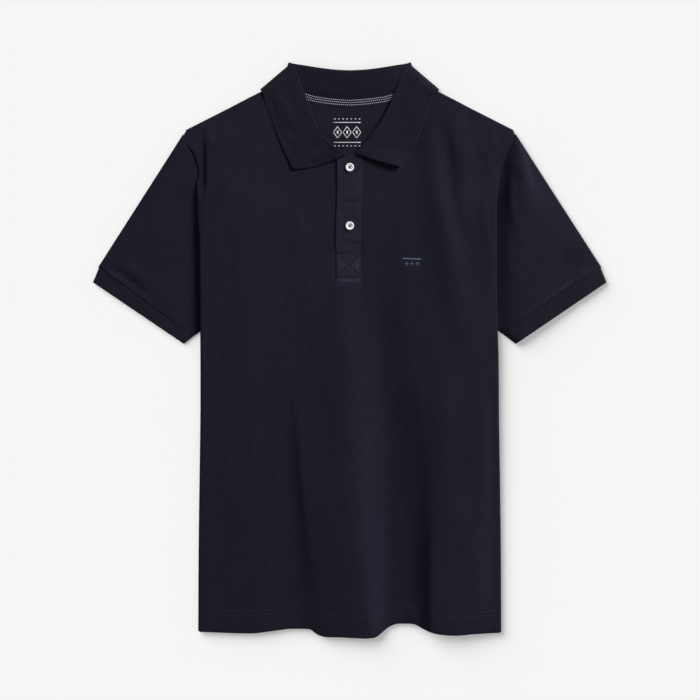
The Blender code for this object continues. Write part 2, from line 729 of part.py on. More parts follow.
def turned_disc(name, y, base):
    """A button's solid before its holes are cut."""
    vertices = []
    faces = []
    for radius, height in zip(BUTTON_PROFILE["radius"], BUTTON_PROFILE["height"]):
        for k in range(BUTTON_SIDES):
            angle = 2 * math.pi * k / BUTTON_SIDES
            point = (radius * math.cos(angle), y + radius * math.sin(angle), base + height)
            vertices.append([c * MILLIMETRE for c in point])
    rings = len(BUTTON_PROFILE["radius"])
    for ring in range(rings - 1):
        for k in range(BUTTON_SIDES):
            a = ring * BUTTON_SIDES + k
            b = ring * BUTTON_SIDES + (k + 1) % BUTTON_SIDES
            faces.append((a, b, b + BUTTON_SIDES, a + BUTTON_SIDES))
    faces.append(tuple(reversed(range(BUTTON_SIDES))))
    faces.append(tuple(range((rings - 1) * BUTTON_SIDES, rings * BUTTON_SIDES)))
    mesh = bpy.data.meshes.new(name)
    mesh.from_pydata(vertices, [], faces)
    mesh.update()
    mesh.materials.append(material("button_white"))
    made = bpy.data.objects.new(name, mesh)
    bpy.context.collection.objects.link(made)
    return made


def button(name, y):
    """A sewing button with a raised rim and four holes right through."""
    base = placket_top_level(0.0, y) + PLACKET_WALL / 2 + SEAM_GAP
    made = turned_disc(name, y, base)
    for index in range(BUTTON_HOLES):
        angle = 2 * math.pi * (index + 0.5) / BUTTON_HOLES
        place = (BUTTON_HOLE_REACH * math.cos(angle), y + BUTTON_HOLE_REACH * math.sin(angle), base)
        bpy.ops.mesh.primitive_cylinder_add(
            vertices=BUTTON_HOLE_SIDES,
            radius=BUTTON_HOLE_RADIUS * MILLIMETRE,
            depth=BUTTON_THICKNESS * 3 * MILLIMETRE,
            location=[c * MILLIMETRE for c in place],
        )
        cutter = bpy.context.active_object
        cutter.name = f"{name}_hole_{index + 1}"
        cutter.hide_render = True
        cutter.display_type = "WIRE"
        cut = made.modifiers.new(f"hole_{index + 1}", "BOOLEAN")
        cut.operation = "DIFFERENCE"
        cut.object = cutter
    return made


def build():
    for old in list(bpy.data.objects):
        bpy.data.objects.remove(old, do_unlink=True)
    back()
    front()
    sleeve(-1, "sleeve_left")
    sleeve(1, "sleeve_right")
    cuff(-1, "cuff_left")
    cuff(1, "cuff_right")
    collar()
    flat_band(
        "placket_under",
        (-SLIT_HALF - UNDER_BAND_MARGIN, SLIT_HALF + UNDER_BAND_MARGIN),
        (UNDER_BAND_BOTTOM, UNDER_BAND_TOP),
        UNDER_BAND_ROWS,
        placket_under_level,
        PIQUE_WALL,
    )
    flat_band(
        "placket_top",
        (PLACKET_LEFT, PLACKET_RIGHT),
        (PLACKET_BOTTOM, PLACKET_TOP),
        PLACKET_ROWS,
        placket_top_level,
        PLACKET_WALL,
    )
    neck_tape()
    for index, y in enumerate(BUTTON_YS):
        button(f"button_{index + 1}", y)


build()
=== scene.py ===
"""Looks of a men's polo shirt in navy pique knit, laid flat and face up.

X runs across the shirt, Y from the hem to the collar and Z up off the surface that it lies on. Sizes are in
millimetres, which a mesh turns into metres. Every cloth wall is given by its middle layer.
"""

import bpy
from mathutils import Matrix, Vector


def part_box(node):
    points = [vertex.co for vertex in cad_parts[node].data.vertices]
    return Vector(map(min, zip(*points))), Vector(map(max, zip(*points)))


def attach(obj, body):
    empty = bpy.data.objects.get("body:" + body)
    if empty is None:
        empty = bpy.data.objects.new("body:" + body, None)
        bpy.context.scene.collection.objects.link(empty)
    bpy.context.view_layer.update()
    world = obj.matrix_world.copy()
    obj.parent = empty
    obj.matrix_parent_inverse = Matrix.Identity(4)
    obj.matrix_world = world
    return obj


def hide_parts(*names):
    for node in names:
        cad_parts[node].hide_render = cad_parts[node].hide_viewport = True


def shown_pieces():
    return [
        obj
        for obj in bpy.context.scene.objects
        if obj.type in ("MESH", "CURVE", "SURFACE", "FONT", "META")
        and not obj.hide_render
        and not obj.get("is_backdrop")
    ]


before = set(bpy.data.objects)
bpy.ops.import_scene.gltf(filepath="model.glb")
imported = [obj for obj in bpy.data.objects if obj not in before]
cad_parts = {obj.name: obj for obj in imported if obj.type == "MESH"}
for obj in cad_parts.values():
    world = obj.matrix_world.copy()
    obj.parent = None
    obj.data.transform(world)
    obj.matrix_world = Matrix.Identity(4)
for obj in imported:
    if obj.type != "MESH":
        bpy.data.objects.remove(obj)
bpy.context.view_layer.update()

import math

import bpy
import numpy as np
from mathutils import Vector

MILLIMETRE = 0.001

# Cloth
PIQUE_WALL = 1
RIB_WALL = 1
PLACKET_WALL = 1.1
TAPE_WALL = 0.4
SEAM_GAP = 0.3

# Levels of the middle layers
FLOOR_LEVEL = 0.6
FRONT_LEVEL = 4.6
LAYER_PITCH = 1.55
ROOT_HEIGHT = 3.7
EDGE_LEVEL = 7.5
SEAM_LEVEL = 4.8
PUFF_LEVEL = 6.2
FALL_LIFT = 1.8

# Outline corners of one half, as (distance from the centre line, Y)
NECK_POINT = np.array((87.4, 353.7))
SHOULDER_POINT = np.array((212.9, 289.8))
ARMPIT = np.array((134.6, 67.5))
SLEEVE_TIP = np.array((330.2, 108.7))
CUFF_TIP = np.array((337, 89.4))
CUFF_HEEL = np.array((217.6, 7.8))
UNDERARM_CORNER = {-1: np.array((206, 17)), 1: np.array((200.8, 20.7))}

# Edges, and how far the folds reach beyond them
HEM_Y = -370
SLIT_HALF = 14
SLIT_Y = 104.8
SHOULDER_TOP_Y = 286.6
SHOULDER_ROLL = 1.9
CUFF_FOLD = 1.8
CUFF_STEP = 1.2
UNDERARM_FOLD = 0.95
SLEEVE_FOLD = 2
BACK_HEM_RISE = 4
FRONT_INSET = 0.6
BACK_NEST = 2.75
FRONT_NECK_CLEAR = 1.1
BACK_NECK_CLEAR = 1
HEM_DEPTH = 27
HEM_FOLD = 0.6

# Placket, buttons and neck tape
PLACKET_LEFT = -16.5
PLACKET_RIGHT = 17
PLACKET_BOTTOM = 83
PLACKET_TOP = 256
BOX_TOP = 125.8
BOX_BOTTOM = 95.9
BUTTON_YS = (239.3, 162.7)
TAPE_HALF_LENGTH = 62
TAPE_RISE = 5.5
TAPE_DROP = 5


def table(names, *rows):
    """A chart with one array for each named column. A row that ends early goes on as the one before it."""
    full = [rows[0]]
    for row in rows[1:]:
        full.append((*row, *full[-1][len(row) :]))
    return dict(zip(names.split(), np.array(full, float).T))


def crease(*rows):
    """One crease from its lower end upwards: where its crest runs, how high it stands, how far it spreads on
    its left and on its right, and how its left side meets the crest: 2 is round, as where it isn't said."""
    return table("y x height left right sharp", (*rows[0], 2)[:6], *rows[1:])


def swells(*rows):
    """Soft dents and swells, each about its middle: how long it is towards turn, how wide and how high."""
    return table("x y along across turn height", *rows)


# Side outline of the laid body: half width, how much wider its left side is, and how much is tucked under
BODY_EDGE = table(
    "y half left tuck",
    (-376, 198.9, 0, 60), (-249, 198.2, 0), (-92, 196, 0), (-10, 195.2, 0.6), (30, 193.8, 2.2),
    (67.5, 193, 3.4), (105, 192.6, 4, 46), (145, 192.4, 4.9, 34), (180, 192.4, 6.9, 23),
    (200, 193.4, 6.8, 12), (218, 195.8, 4.6, 5), (238, 199.7, -1.4, 3), (258, 206.8, -1.8),
    (270, 213.2, 1.4), (281, 217, 1), (289.8, 212.9, 0),
)

# Wave of the hem: how far its edge lies above HEM_Y
HEM_WAVE = table(
    "x rise",
    (-194, 1.3), (-130.7, -0.7), (-99, 2.6), (-75.6, 5.2), (-54, 5.2), (-41, -2.6), (-28.5, -5.2),
    (3, -5.2), (19, -6.6), (32, -5.9), (42, 0), (50, 6.6), (66, 11.8), (82, 11.8), (97, 5.2), (113, 0),
    (141, -2.6), (160, -1.3), (194, 0),
)

FRONT_CREASES = (
    # ridge down the middle from the placket to the hem
    crease(
        (-372, 21, 10, 66, 23), (-341, 18, 11.6, 66, 25), (-314, 15, 12.8, 64, 27), (-262, 8, 14.2, 58, 29),
        (-196, 3, 13.6, 52, 30), (-131, 0, 11, 46, 34), (-66, -5, 9.2, 44), (0, -8, 6.5, 42, 33),
        (79, -12, 3, 38, 31), (125, -13, 0, 36, 30),
    ),
    # the crisp line along its foot
    crease(
        (-372, 44.5, -1.4, 12, 8, 1.1), (-314, 45.5, -2, 12, 12, 1.2), (-249, 46, -2, 13, 18, 1.3),
        (-180, 46, -1.8, 15, 22, 1.4), (-100, 45, -1.8, 15, 22, 1.5), (0, 40, -1.4, 15, 22, 1.6),
        (60, 37, -0.8), (110, 34, 0, 14, 20, 2),
    ),
    # deep step on the right: its steep face
    crease(
        (-372, 106, 7.5, 10, 56, 1.5), (-328, 107, 8.8, 11, 60), (-275, 107, 8.8, 12),
        (-220, 107, 6.4, 14, 60, 1.6), (-170, 107, 3.8, 16, 60, 1.7), (-131, 103, 2.4, 15, 52),
        (-66, 92, 1.4, 15, 46, 1.8), (-30, 86, 0, 15, 40),
    ),
    # and the slow rise to it
    crease(
        (-372, 110, 2.5, 26, 60), (-275, 112, 3.6, 30), (-196, 117, 5, 37), (-131, 115, 5.4, 38, 66),
        (-66, 101, 4.8, 34), (-20, 86, 3.6, 29, 56), (30, 75, 2.8, 26, 46), (70, 72, 2, 24, 36),
        (140, 68, 0.8, 22, 30), (200, 66, 0),
    ),
    # the fold beside it, which joins it from the right
    crease(
        (-290, 112, 0, 10, 24), (-240, 122, 1.4, 14, 40), (-196, 129, 3, 20, 44), (-140, 130, 3.6, 20, 48),
        (-92, 126, 2.8, 18, 46), (-40, 120, 2, 17, 38), (0, 112, 1.5, 12, 26), (24, 109, 1.2, 10, 18),
        (50, 106, 0, 9, 14),
    ),
    # thin step on the left
    crease(
        (-372, -34, 1.6, 20, 36), (-328, -40, 3, 17), (-262, -51, 4.5, 11, 36, 1.7),
        (-196, -59, 4.9, 8.5, 36, 1.5), (-131, -65, 4.3, 8), (-66, -69, 1.4, 8, 36, 1.6), (-20, -73, 0),
    ),
    # folds that fan down from the right shoulder
    crease(
        (-66, 170, 0, 22, 20), (-20, 160, 1.6, 22, 24), (20, 150, 2.8), (66, 141, 3.4, 22, 20),
        (92, 136, 3.6, 21, 16), (131, 130, 4.2, 21, 15), (183, 120, 4.6, 19, 13), (210, 115, 4.7),
        (248, 110, 3.6), (290, 104, 2.2, 18), (322, 104, 0, 16, 14),
    ),
    crease(
        (150, 154, 0, 10, 10), (196, 148, 2.2, 9, 11), (242, 144, 3.5, 9, 17), (262, 142, 4, 9, 19),
        (290, 138, 3.6, 10, 20), (315, 135, 2.1, 9, 16), (338, 132, 0, 8, 10),
    ),
    crease((105, 189, 0, 6, 8), (144, 182, 1.6), (177, 176, 1.4), (195, 175, 0)),
    crease((250, 173, 0, 5, 7), (269, 171, 1.3), (288, 169, 0)),
    crease((216, 187, 0, 5, 7), (242, 183, 1.9), (268, 179, 0)),
    # low swells at the right side
    crease((-39, 181, 0, 18, 14), (0, 182, 0.5), (46, 182, 1.4), (90, 184, 0)),
    crease(
        (-372, 185, 0.5, 14, 10), (-328, 184, 0.7, 16), (-249, 182, 1.3, 18, 12), (-196, 180, 2.2, 20, 13),
        (-150, 178, 2.8, 20, 14), (-110, 178, 2.6), (-60, 178, 1.2, 18), (-20, 178, 0, 14),
    ),
    crease((-345, 176, 0, 14, 14), (-288, 165, 1.6), (-223, 152, 1.3), (-190, 147, 0)),
    crease((-374, 88, 0.8, 5, 7), (-357, 84, 1.3), (-343, 81, 0.8), (-332, 80, 0)),
    # low swells on the left
    crease((-20, -57, 0, 22, 26), (66, -60, 1), (170, -63, 1), (252, -65, 0, 20, 24)),
    crease(
        (-372, -110, 0.8, 30, 26), (-300, -116, 1.6, 34, 30), (-190, -124, 1.4, 36, 34),
        (-80, -128, 0, 40, 36),
    ),
)

# The right leaf's free edge presses a dent into the front
LEAF_DENT = (
    crease(
        (238, 66.5, 0, 6, 3), (247, 71.2, -1.6, 6, 11), (258, 79, -2.6, 6, 14), (278, 89.8, -2.6, 6, 15),
        (304, 98.7, -2, 6, 13), (322, 105.3, -1.2, 6, 9), (338, 111.5, 0, 6, 3),
    ),
)

# Right sleeve: the fold from its shoulder, and the thin crease that runs down from the armhole seam
RIGHT_SLEEVE_CREASES = (
    crease(
        (90, 238, 0, 16, 26), (131, 233, 0.9, 15), (157, 230, 1.5, 14, 24), (183, 230, 3.2, 16, 18),
        (203, 229, 4.5, 16, 15), (223, 229, 5.4, 15, 9), (242, 227, 6.1, 17, 7), (262, 224.5, 5.2, 16, 6),
        (285, 222, 1.8, 11),
    ),
    crease(
        (138, 223.5, 0, 5, 8, 1.5), (157, 218, 1, 4.5), (177, 212.5, 1.9), (196, 209.5, 2.4),
        (230, 210, 2.7), (255, 213, 1.2, 5), (272, 217, 0, 4),
    ),
)

BACK_CREASES = (
    crease((-372, 46, 1.2, 14, 22), (-250, 40, 1.5, 16, 26), (-120, 34, 1, 18), (0, 30, 0, 20)),
    crease((-372, -52, 0.8, 20, 12), (-280, -48, 1.2, 22, 14), (-150, -60, 0.6, 22, 16), (-60, -66, 0)),
)

SLEEVE_SWELLS = {
    -1: swells(
        (-250, 218, 30, 9, 60, 0.7), (-314, 99.5, 16, 3, -36, 1), (-287, 89.5, 30, 4, -38, -1.5),
        (-281, 102, 17, 7, -36, 1.6), (-235, 60, 34, 10, -52, 0.5),
    ),
    1: swells(
        (286, 111, 24, 13, 35, -2.4), (290, 88.5, 46, 4, 33.5, 1.5), (258, 67.5, 20, 3.5, 36, 1),
        (228, 47, 20, 4, 39, 1), (262, 92, 26, 9, 34, -0.9), (258, 130, 30, 12, 70, 0.6),
        (262, 196, 26, 8, -58, 0.6),
    ),
}
# Painted light on the sleeves: painted highlights above the cuff seams and on a fold of the left sleeve, and
# painted shade along the right cuff seam and beside the right armhole
SLEEVE_PAINTED_LIGHT = {
    -1: swells((-314, 101, 12, 1.6, -37, 0.35), (-285, 104, 14, 7, -30, 0.12)),
    1: swells(
        (287, 86.6, 26, 1.4, 34.1, 0.5), (312, 103, 16, 1.4, 34.1, 0.6), (250, 61.2, 26, 1.5, 34.1, 0.35),
        (240, 48.9, 60, 1, 34.1, -0.3), (216, 240, 36, 7, 80, -0.3),
    ),
}
# Painted light on the placket: painted highlights on its box, below the box and on its puffs, and painted
# shade along its stitches, edges and creases
PLACKET_PAINTED_LIGHT = swells(
    (-1.5, 111, 15, 13, 0, 0.28), (10.5, 111, 5, 12, 0, 0.3), (-1, 91, 30, 3.2, 0, 0.45),
    (9, 215, 8, 16, 0, 0.1), (0, 150, 16, 10, 0, 0.1), (-13.5, 178, 3.5, 24, 0, 0.24),
    (13, 195, 5, 30, 0, 0.07), (0, 244, 16, 12, 0, -0.12), (-1.7, 110.9, 21, 1.1, 43.5, -0.65),
    (-1.7, 110.9, 21, 1.1, -43.5, -0.15), (-1.7, 125.8, 22, 0.9, 0, -0.45), (-1.7, 95.9, 22, 0.9, 0, -0.45),
    (16.4, 215, 0.8, 45, 0, -0.3), (14.4, 112, 0.8, 40, 0, -0.3), (-16.9, 110.9, 0.9, 18, 0, -0.3),
    (9, 139.5, 8, 1.2, -6, -0.35), (2, 196, 12, 1.2, 0, -0.25),
)
# Painted highlight along the front's ridge, and painted shade beside the right armhole and lower down at its
# sides
FRONT_PAINTED_LIGHT = swells(
    (30, -225, 130, 12, -86, 0.11), (32, -345, 36, 14, -86, 0.08), (2, 20, 60, 12, -88, 0.06),
    (-18, -338, 30, 22, 0, 0.08), (152, 272, 56, 34, -27, -0.12), (160, -115, 62, 24, 90, -0.13),
    (-94, -130, 90, 24, 90, -0.09),
)
LEAF_SWELLS = {
    -1: swells(
        (-72, 283, 26, 5, -46, -0.8), (-60, 268, 20, 6, -40, 0.8), (-66, 249, 12, 8, 15, 1),
        (-102, 312, 22, 7, -72, -0.7), (-88, 322, 24, 8, -62, 0.7), (-80, 300, 14, 6, 10, 0.5),
        (-40, 262, 12, 6, 20, -0.6), (-84, 262, 14, 5, -65, 0.5),
    ),
    1: swells(
        (60, 303, 16, 9, 50, -1.2), (50, 272, 16, 10, 30, 0.9), (78, 330, 20, 8, 55, 0.6),
        (88, 300, 22, 6, 65, 0.6), (72, 262, 14, 7, 60, -0.6), (51, 244.4, 28, 12, -16, 2.8),
    ),
}
PLACKET_SWELLS = swells(
    (8, 140, 8, 2.4, -10, -0.35), (6, 146, 9, 3, -8, 0.3), (4, 194.5, 12, 3, 0, -0.25),
    (3, 201, 12, 4, 4, 0.25), (-8, 186, 6, 6, 60, 0.25), (9, 178, 6, 6, 50, 0.25), (-4, 130, 9, 3, 0, 0.25),
    (0, 218, 14, 7, 80, 0.25),
)

# Collar sections of one half, from the front end of the leaf round to the centre back: the neck seam, the
# fold and the free edge, each as distance from the centre line, Y and level. Bend is the fold's radius, and
# turn goes from 0 where the leaf lies on the stand to 180 where it lies under it. The last three columns
# move the right leaf's fold and edge away from the left one's mirror.
COLLAR = table(
    "seam_x seam_y seam_z fold_x fold_y fold_z edge_x edge_y edge_z bend turn fold_dx edge_dx edge_dy",
    (12.5, 252.6, 7.9, 4.9, 257.5, 8.8, 74.9, 237.6, 7.2, 0.85, 0, 4.6, -9.1, 2.2),
    (24.6, 254.1, 6.8, 16.7, 261.3, 8.6, 78.4, 245.4, 6.4, 0.9, 0, -3.5, -8.8, 1.2),
    (45.5, 265.9, 5.4, 31.1, 273.8, 7.1, 84.8, 257.9, 5.9, 1, 0, -8, -7.1, 0.2),
    (62.6, 288.2, 5, 44.9, 296.1, 6.6, 93.3, 277.5, 5.8, 1, 0, -5, -4.7),
    (75.7, 314.4, 5, 56, 323.6, 6.3, 103.1, 303.7, 5.9, 0.95, 0, -1.5, -5.6),
    (83.5, 334.1, 5, 65.8, 351.1, 6, 110, 322.1, 6.1, 0.95, 5, -1, -5.9),
    (86.8, 348.5, 4.8, 73, 368.8, 5.5, 113.6, 336, 7.4, 1.25, 30, -2, -3.6, 0),
    (87.3, 352.4, 4.4, 77.6, 374, 4.5, 115.9, 339.9, 6, 1.3, 60, -1, -1.2),
    (87.4, 353.7, 3.6, 79.2, 375.5, 3.5, 117, 341.7, 3.3, 1.3, 90, 0, 0),
    (87, 352.5, 3, 77.8, 374.9, 3.4, 115.2, 339.5, 0.8, 1.3, 130),
    (86.1, 350, 2.7, 74.3, 374, 3.7, 111, 334.1, 0.7, 1.3, 155),
    (75.7, 339.3, 2.5, 59.9, 371.4, 5.6, 84.8, 317, 0.7, 1.3, 175),
    (52.1, 329.5, 2.5, 39, 367.8, 7, 49.5, 315.7, 0.7, 1.3, 180),
    (25.9, 324.9, 2.5, 19.3, 365.4, 7.4, 23.3, 315.7, 0.7), (0, 322.9, 2.5, 0, 364.5, 7.4, 0, 315.7, 0.7),
)
COLLAR_STEPS = (8, 9, 11, 12, 10, 8, 4, 3, 3, 5, 10, 12, 11, 9)
COLLAR_CORNER = 8
LEAF_BOW = {-1: 5.6, 1: 1.3}
LEAF_SAG = {-1: 2.3, 1: 0.3}
RIGHT_LEAF_DROP = 1
STAND_BOW = 0.9
# Rise of the leaf along its free edge, where the knit ends in a firm rim, at shares of the fall's width
FREE_RIM = table("share rise", (0.93, 0), (0.952, -0.2), (0.968, 0.35), (0.985, 0), (1, -0.8))
RIM_SIZE = {-1: 0.3, 1: 1.5}

# Turned outline of a button, from its underside over the rim to the sunk middle
BUTTON_PROFILE = table(
    "radius height",
    (4.9, 0), (5.22, 0.12), (5.45, 0.45), (5.52, 0.85), (5.44, 1.25), (5.26, 1.48), (4.98, 1.58),
    (4.6, 1.6), (4.05, 1.56), (3.6, 1.44), (3.25, 1.24), (2.95, 1.02), (2.5, 0.92),
)
BUTTON_SIDES = 64
HOLE_RADIUS = 0.85
HOLE_REACH = 1.75
HOLE_CUT = 9
BUTTON_WEB = 0.95
THREAD_SPREAD = 0.2


# ---- curves and levels ----


def ramp(value, low, high):
    """Smooth step from 0 at low to 1 at high."""
    t = np.clip((np.asarray(value, float) - low) / (high - low), 0, 1)
    return t * t * (3 - 2 * t)


def window(value, start, full, last, end):
    """1 from full to last, fading out to start and end."""
    return ramp(value, start, full) * ramp(value, end, last)


def mix(first, second, share):
    return first + (second - first) * share


def unit(vectors):
    """The vectors with a length of 1."""
    return vectors / np.linalg.norm(vectors, axis=-1, keepdims=True)


def xyz(x, y, z):
    return np.stack(np.broadcast_arrays(x, y, z), axis=-1)


def line(start, end, count):
    return np.linspace(np.asarray(start, float), np.asarray(end, float), count)


def read(chart, column, at):
    """The column's value at places along the chart's first column, as a smooth curve through the rows."""
    keys = next(iter(chart.values()))
    values = chart[column]
    chords = np.diff(values) / np.diff(keys)
    before = np.append(chords[:1], chords)
    after = np.append(chords, chords[-1:])
    steepest = 2 * np.minimum(np.abs(before), np.abs(after))
    slopes = np.clip((before + after) / 2, -steepest, steepest) * (before * after > 0)
    at = np.clip(np.asarray(at, float), keys[0], keys[-1])
    cell = np.clip(np.searchsorted(keys, at, side="right") - 1, 0, len(keys) - 2)
    span = keys[cell + 1] - keys[cell]
    t = (at - keys[cell]) / span
    start = (1 + 2 * t) * (1 - t) ** 2 * values[cell] + t * (1 - t) ** 2 * span * slopes[cell]
    end = t * t * (3 - 2 * t) * values[cell + 1] - t * t * (1 - t) * span * slopes[cell + 1]
    return start + end


def lengths_along(path):
    """How far each point of a path is from its start."""
    return np.append(0, np.cumsum(np.linalg.norm(np.diff(path, axis=0), axis=1)))


def points_along(path, places):
    lengths = lengths_along(path)
    return np.stack([np.interp(places, lengths, column) for column in path.T], axis=-1)


def resampled(path, count):
    """The same path with evenly spaced points."""
    return points_along(path, np.linspace(0, lengths_along(path)[-1], count))


LEAN_REACH = 6
ROUND = 2


def creased(creases, x, y):
    """Rise of all the creases at plan points."""
    total = np.zeros(np.broadcast(x, y).shape)
    for chart in creases:
        crest = read(chart, "x", y)
        ahead = read(chart, "x", y + LEAN_REACH)
        lean = (ahead - read(chart, "x", y - LEAN_REACH)) / (2 * LEAN_REACH)
        away = (x - crest) / np.sqrt(1 + lean**2)
        on_left = away < 0
        spread = np.where(on_left, read(chart, "left", y), read(chart, "right", y))
        power = np.where(on_left, read(chart, "sharp", y), ROUND)
        total = total + read(chart, "height", y) * np.exp(-(np.abs(away / spread) ** power))
    return total


def swelled(chart, x, y):
    """Rise of a chart of dents and swells at plan points."""
    total = np.zeros(np.broadcast(x, y).shape)
    for x0, y0, along, across, turn, height in zip(*chart.values()):
        c, s = math.cos(math.radians(turn)), math.sin(math.radians(turn))
        u = (x - x0) * c + (y - y0) * s
        v = (y - y0) * c - (x - x0) * s
        total = total + height * np.exp(-((u / along) ** 2) - (v / across) ** 2)
    return total


def body_half(y, side):
    """Half width of the laid body, to the outside of its side fold."""
    half = read(BODY_EDGE, "half", y)
    return half + np.where(np.asarray(side) < 0, read(BODY_EDGE, "left", y), 0)


def tuck_depth(y):
    return read(BODY_EDGE, "tuck", y)


def beside_line(x, y, start, end):
    """Distance from a line of the outline, positive towards the middle of the sleeve."""
    along = unit(end - start)
    return (np.abs(x) - start[0]) * along[1] - (y - start[1]) * along[0]


def inside_underarm(x, y):
    return beside_line(x, y, UNDERARM_CORNER[-1], ARMPIT)


def inside_outer_edge(x, y):
    return beside_line(x, y, SHOULDER_POINT, SLEEVE_TIP)


def below_shoulder(x, y):
    return beside_line(x, y, NECK_POINT, SHOULDER_POINT)


def tucked(y, start=236):
    """1 where the body is tucked under, 0 beside the top of the armhole, where its seam shows."""
    return 1 - ramp(y, start, start + 26)


def back_tucked(y):
    return tucked(y, 190)


def over_sleeve(y):
    """1 where the tucked strip lies on the sleeve's root, 0 where it lies on the floor."""
    return ramp(y, -30, 10)


def stands_over(y):
    """1 where the body's side stands high over the sleeve, 0 where the armhole seam lies flat."""
    return 1 - ramp(y, 190, 235)


def front_edge_level(y):
    return mix(SEAM_LEVEL, EDGE_LEVEL + 2.5 * over_sleeve(y), stands_over(y))


def front_strip_level(y):
    over_floor = FLOOR_LEVEL + ROOT_HEIGHT * over_sleeve(y)
    strip = mix(FLOOR_LEVEL + LAYER_PITCH, over_floor, tucked(y))
    return np.minimum(strip, front_edge_level(y) - 1.5)


def back_strip_level(y):
    return FLOOR_LEVEL + LAYER_PITCH + 0.05 + ROOT_HEIGHT * over_sleeve(y)


def back_edge_level(y):
    return mix(FLOOR_LEVEL, EDGE_LEVEL - 1.8 + 2.6 * over_sleeve(y), back_tucked(y))


def hem_wave(x, y):
    """How far the hem's wave moves a point up the shirt, fading out above the hem."""
    return read(HEM_WAVE, "rise", x) * (1 - ramp(y - HEM_Y, 0, 110))


def fall_lift(x, y):
    """How far the back is raised where it lies on the collar's fall."""
    return FALL_LIFT * ramp(y, 262, 290) * ramp(np.abs(x), 150, 128)


def back_level(x, y):
    sides = ramp(np.abs(x), 92, 132)
    relief = creased(BACK_CREASES, x, y) * ramp(np.abs(x), 110, 80)
    return mix(FLOOR_LEVEL, back_edge_level(y), sides) + fall_lift(x, y) + relief


def shoulder_level(x, y):
    """Level of the front at its shoulder seam, so that its rolled edge ends on the back."""
    lift = fall_lift(np.abs(x) - 8, y)
    return FLOOR_LEVEL + lift + 0.6 + 0.35 + SHOULDER_ROLL


def placket_lean(y):
    """How far the placket's upper band leans to the left as it runs down."""
    return mix(-2, 0, ramp(y, 140, 225))


def beside_placket(x, y):
    """1 right of the upper band's sewn edge, where the front is level with it, fading out away from it."""
    edge = PLACKET_RIGHT + placket_lean(y)
    return window(x, edge - 1.8, edge + 0.4, edge + 4, edge + 48) * window(y, 80, 92, 240, 258)


def placket_step(y):
    """How far the front rises beside the upper band's sewn edge."""
    return mix(0.45, 0.9, ramp(y, BOX_BOTTOM, BUTTON_YS[1] - 10))


def front_level(x, y):
    x, y = np.broadcast_arrays(x, y)
    far = np.abs(x)
    on_left = np.where(x < 0, 1, 0)
    upper_right = ramp(y, 180, 240) * np.where(x > 0, 1, 0)
    high = EDGE_LEVEL + 2.5 * ramp(y, -260, 10) - 1.2 * ramp(y, 200, 250) - 3 * upper_right
    rising = ramp(y, 150, 240)
    sides = ramp(far, mix(20, 96, rising), mix(150, 176, rising))
    relief = creased(FRONT_CREASES, x, y) * ramp(far, 195, 168)
    middle = FRONT_LEVEL - 1.2 * ramp(y, 60, -40)
    panel = mix(middle, high, sides) + relief + creased(LEAF_DENT, x, y)
    # beside the armhole seams it steps down to the seam
    ledge = ramp(far, mix(189.5, 185.5, on_left), mix(199, 192.5, on_left)) * ramp(y, 170, 215)
    plain = mix(panel, front_edge_level(y) + 0.5 * on_left, ledge)
    left_strip = far - mix(4.5, 0, ramp(y, 172, 225))
    dropped = ramp(left_strip, 186.5, 192.5) + 0.7 * ramp(left_strip, 189, 200)
    plain = plain - 1.2 * dropped * window(y, 150, 176, 205, 236) * on_left
    reach = mix(42 + 24 * upper_right, 28, ramp(far, 170, 190))
    from_shoulder = ramp(below_shoulder(x, y) / reach, 0, 1)
    return mix(shoulder_level(x, y), plain, from_shoulder) + placket_step(y) * beside_placket(x, y)


def sleeve_level(x, y):
    """Level of the sleeve's upper layer."""
    x, y = np.broadcast_arrays(x, y)
    outward = np.abs(x) - body_half(y, x)
    beside_seam = front_level(np.sign(x) * body_half(y, x), y) - np.where(x < 0, 1.6, 0.5)
    root = mix(beside_seam, FLOOR_LEVEL + 2 * UNDERARM_FOLD, 1 - ramp(y, 196, 242))
    upper = ramp(y, 178, 215)
    cap = window(y, 150, 190, 235, 262)
    across = np.clip(outward / mix(20, 16, upper), 0, 1)
    late = np.clip((across - 0.62) / 0.38, 0, 1)
    steady = (np.minimum(across, 0.62) + 0.38 * (late - late**3 + late**4 / 2)) / 0.81
    face = mix(steady, across**1.5, upper)
    beside_body = 2.6 * window(y, 40, 120, 195, 235) * ramp(outward, 50, 15)
    top = PUFF_LEVEL + 0.8 + 0.4 * cap + 1.7 * ramp(outward, 13, 34) - 2.3 * ramp(outward, 36, 110)
    on_right = mix(root, top + beside_body, face)
    on_left = mix(root, PUFF_LEVEL - 1.4, ramp(outward, 0, 64))
    puff = np.where(x < 0, on_left, on_right)
    dents = np.where(x < 0, swelled(SLEEVE_SWELLS[-1], x, y), swelled(SLEEVE_SWELLS[1], x, y))
    ridges = np.where(x < 0, 0, creased(RIGHT_SLEEVE_CREASES, x, y))
    fold = inside_outer_edge(x, y)
    by_fold = mix(FLOOR_LEVEL + 2 * SLEEVE_FOLD, puff + dents, ramp(fold, 0, 26))
    by_fold = by_fold + ridges * ramp(fold, -2, 9) * ramp(outward, 0, 8)
    inside = inside_underarm(x, y)
    by_underarm = np.where(x < 0, ramp(inside, 0, 22), ramp(inside, -6, 7))
    return mix(FLOOR_LEVEL + 2 * UNDERARM_FOLD, by_fold, by_underarm)


# ---- meshes ----


def grid_corners(numbers):
    """Corner numbers of every cell of a grid, counter-clockwise seen from its outer side."""
    return np.stack([numbers[:-1, :-1], numbers[:-1, 1:], numbers[1:, 1:], numbers[1:, :-1]], axis=-1)


def vertex_normals(points, cells):
    faces = np.cross(points[cells[:, 2]] - points[cells[:, 0]], points[cells[:, 3]] - points[cells[:, 1]])
    normals = np.zeros_like(points)
    for corner in range(4):
        np.add.at(normals, cells[:, corner], faces)
    lengths = np.linalg.norm(normals, axis=1)
    lengths[lengths == 0] = 1
    return normals / lengths[:, None]


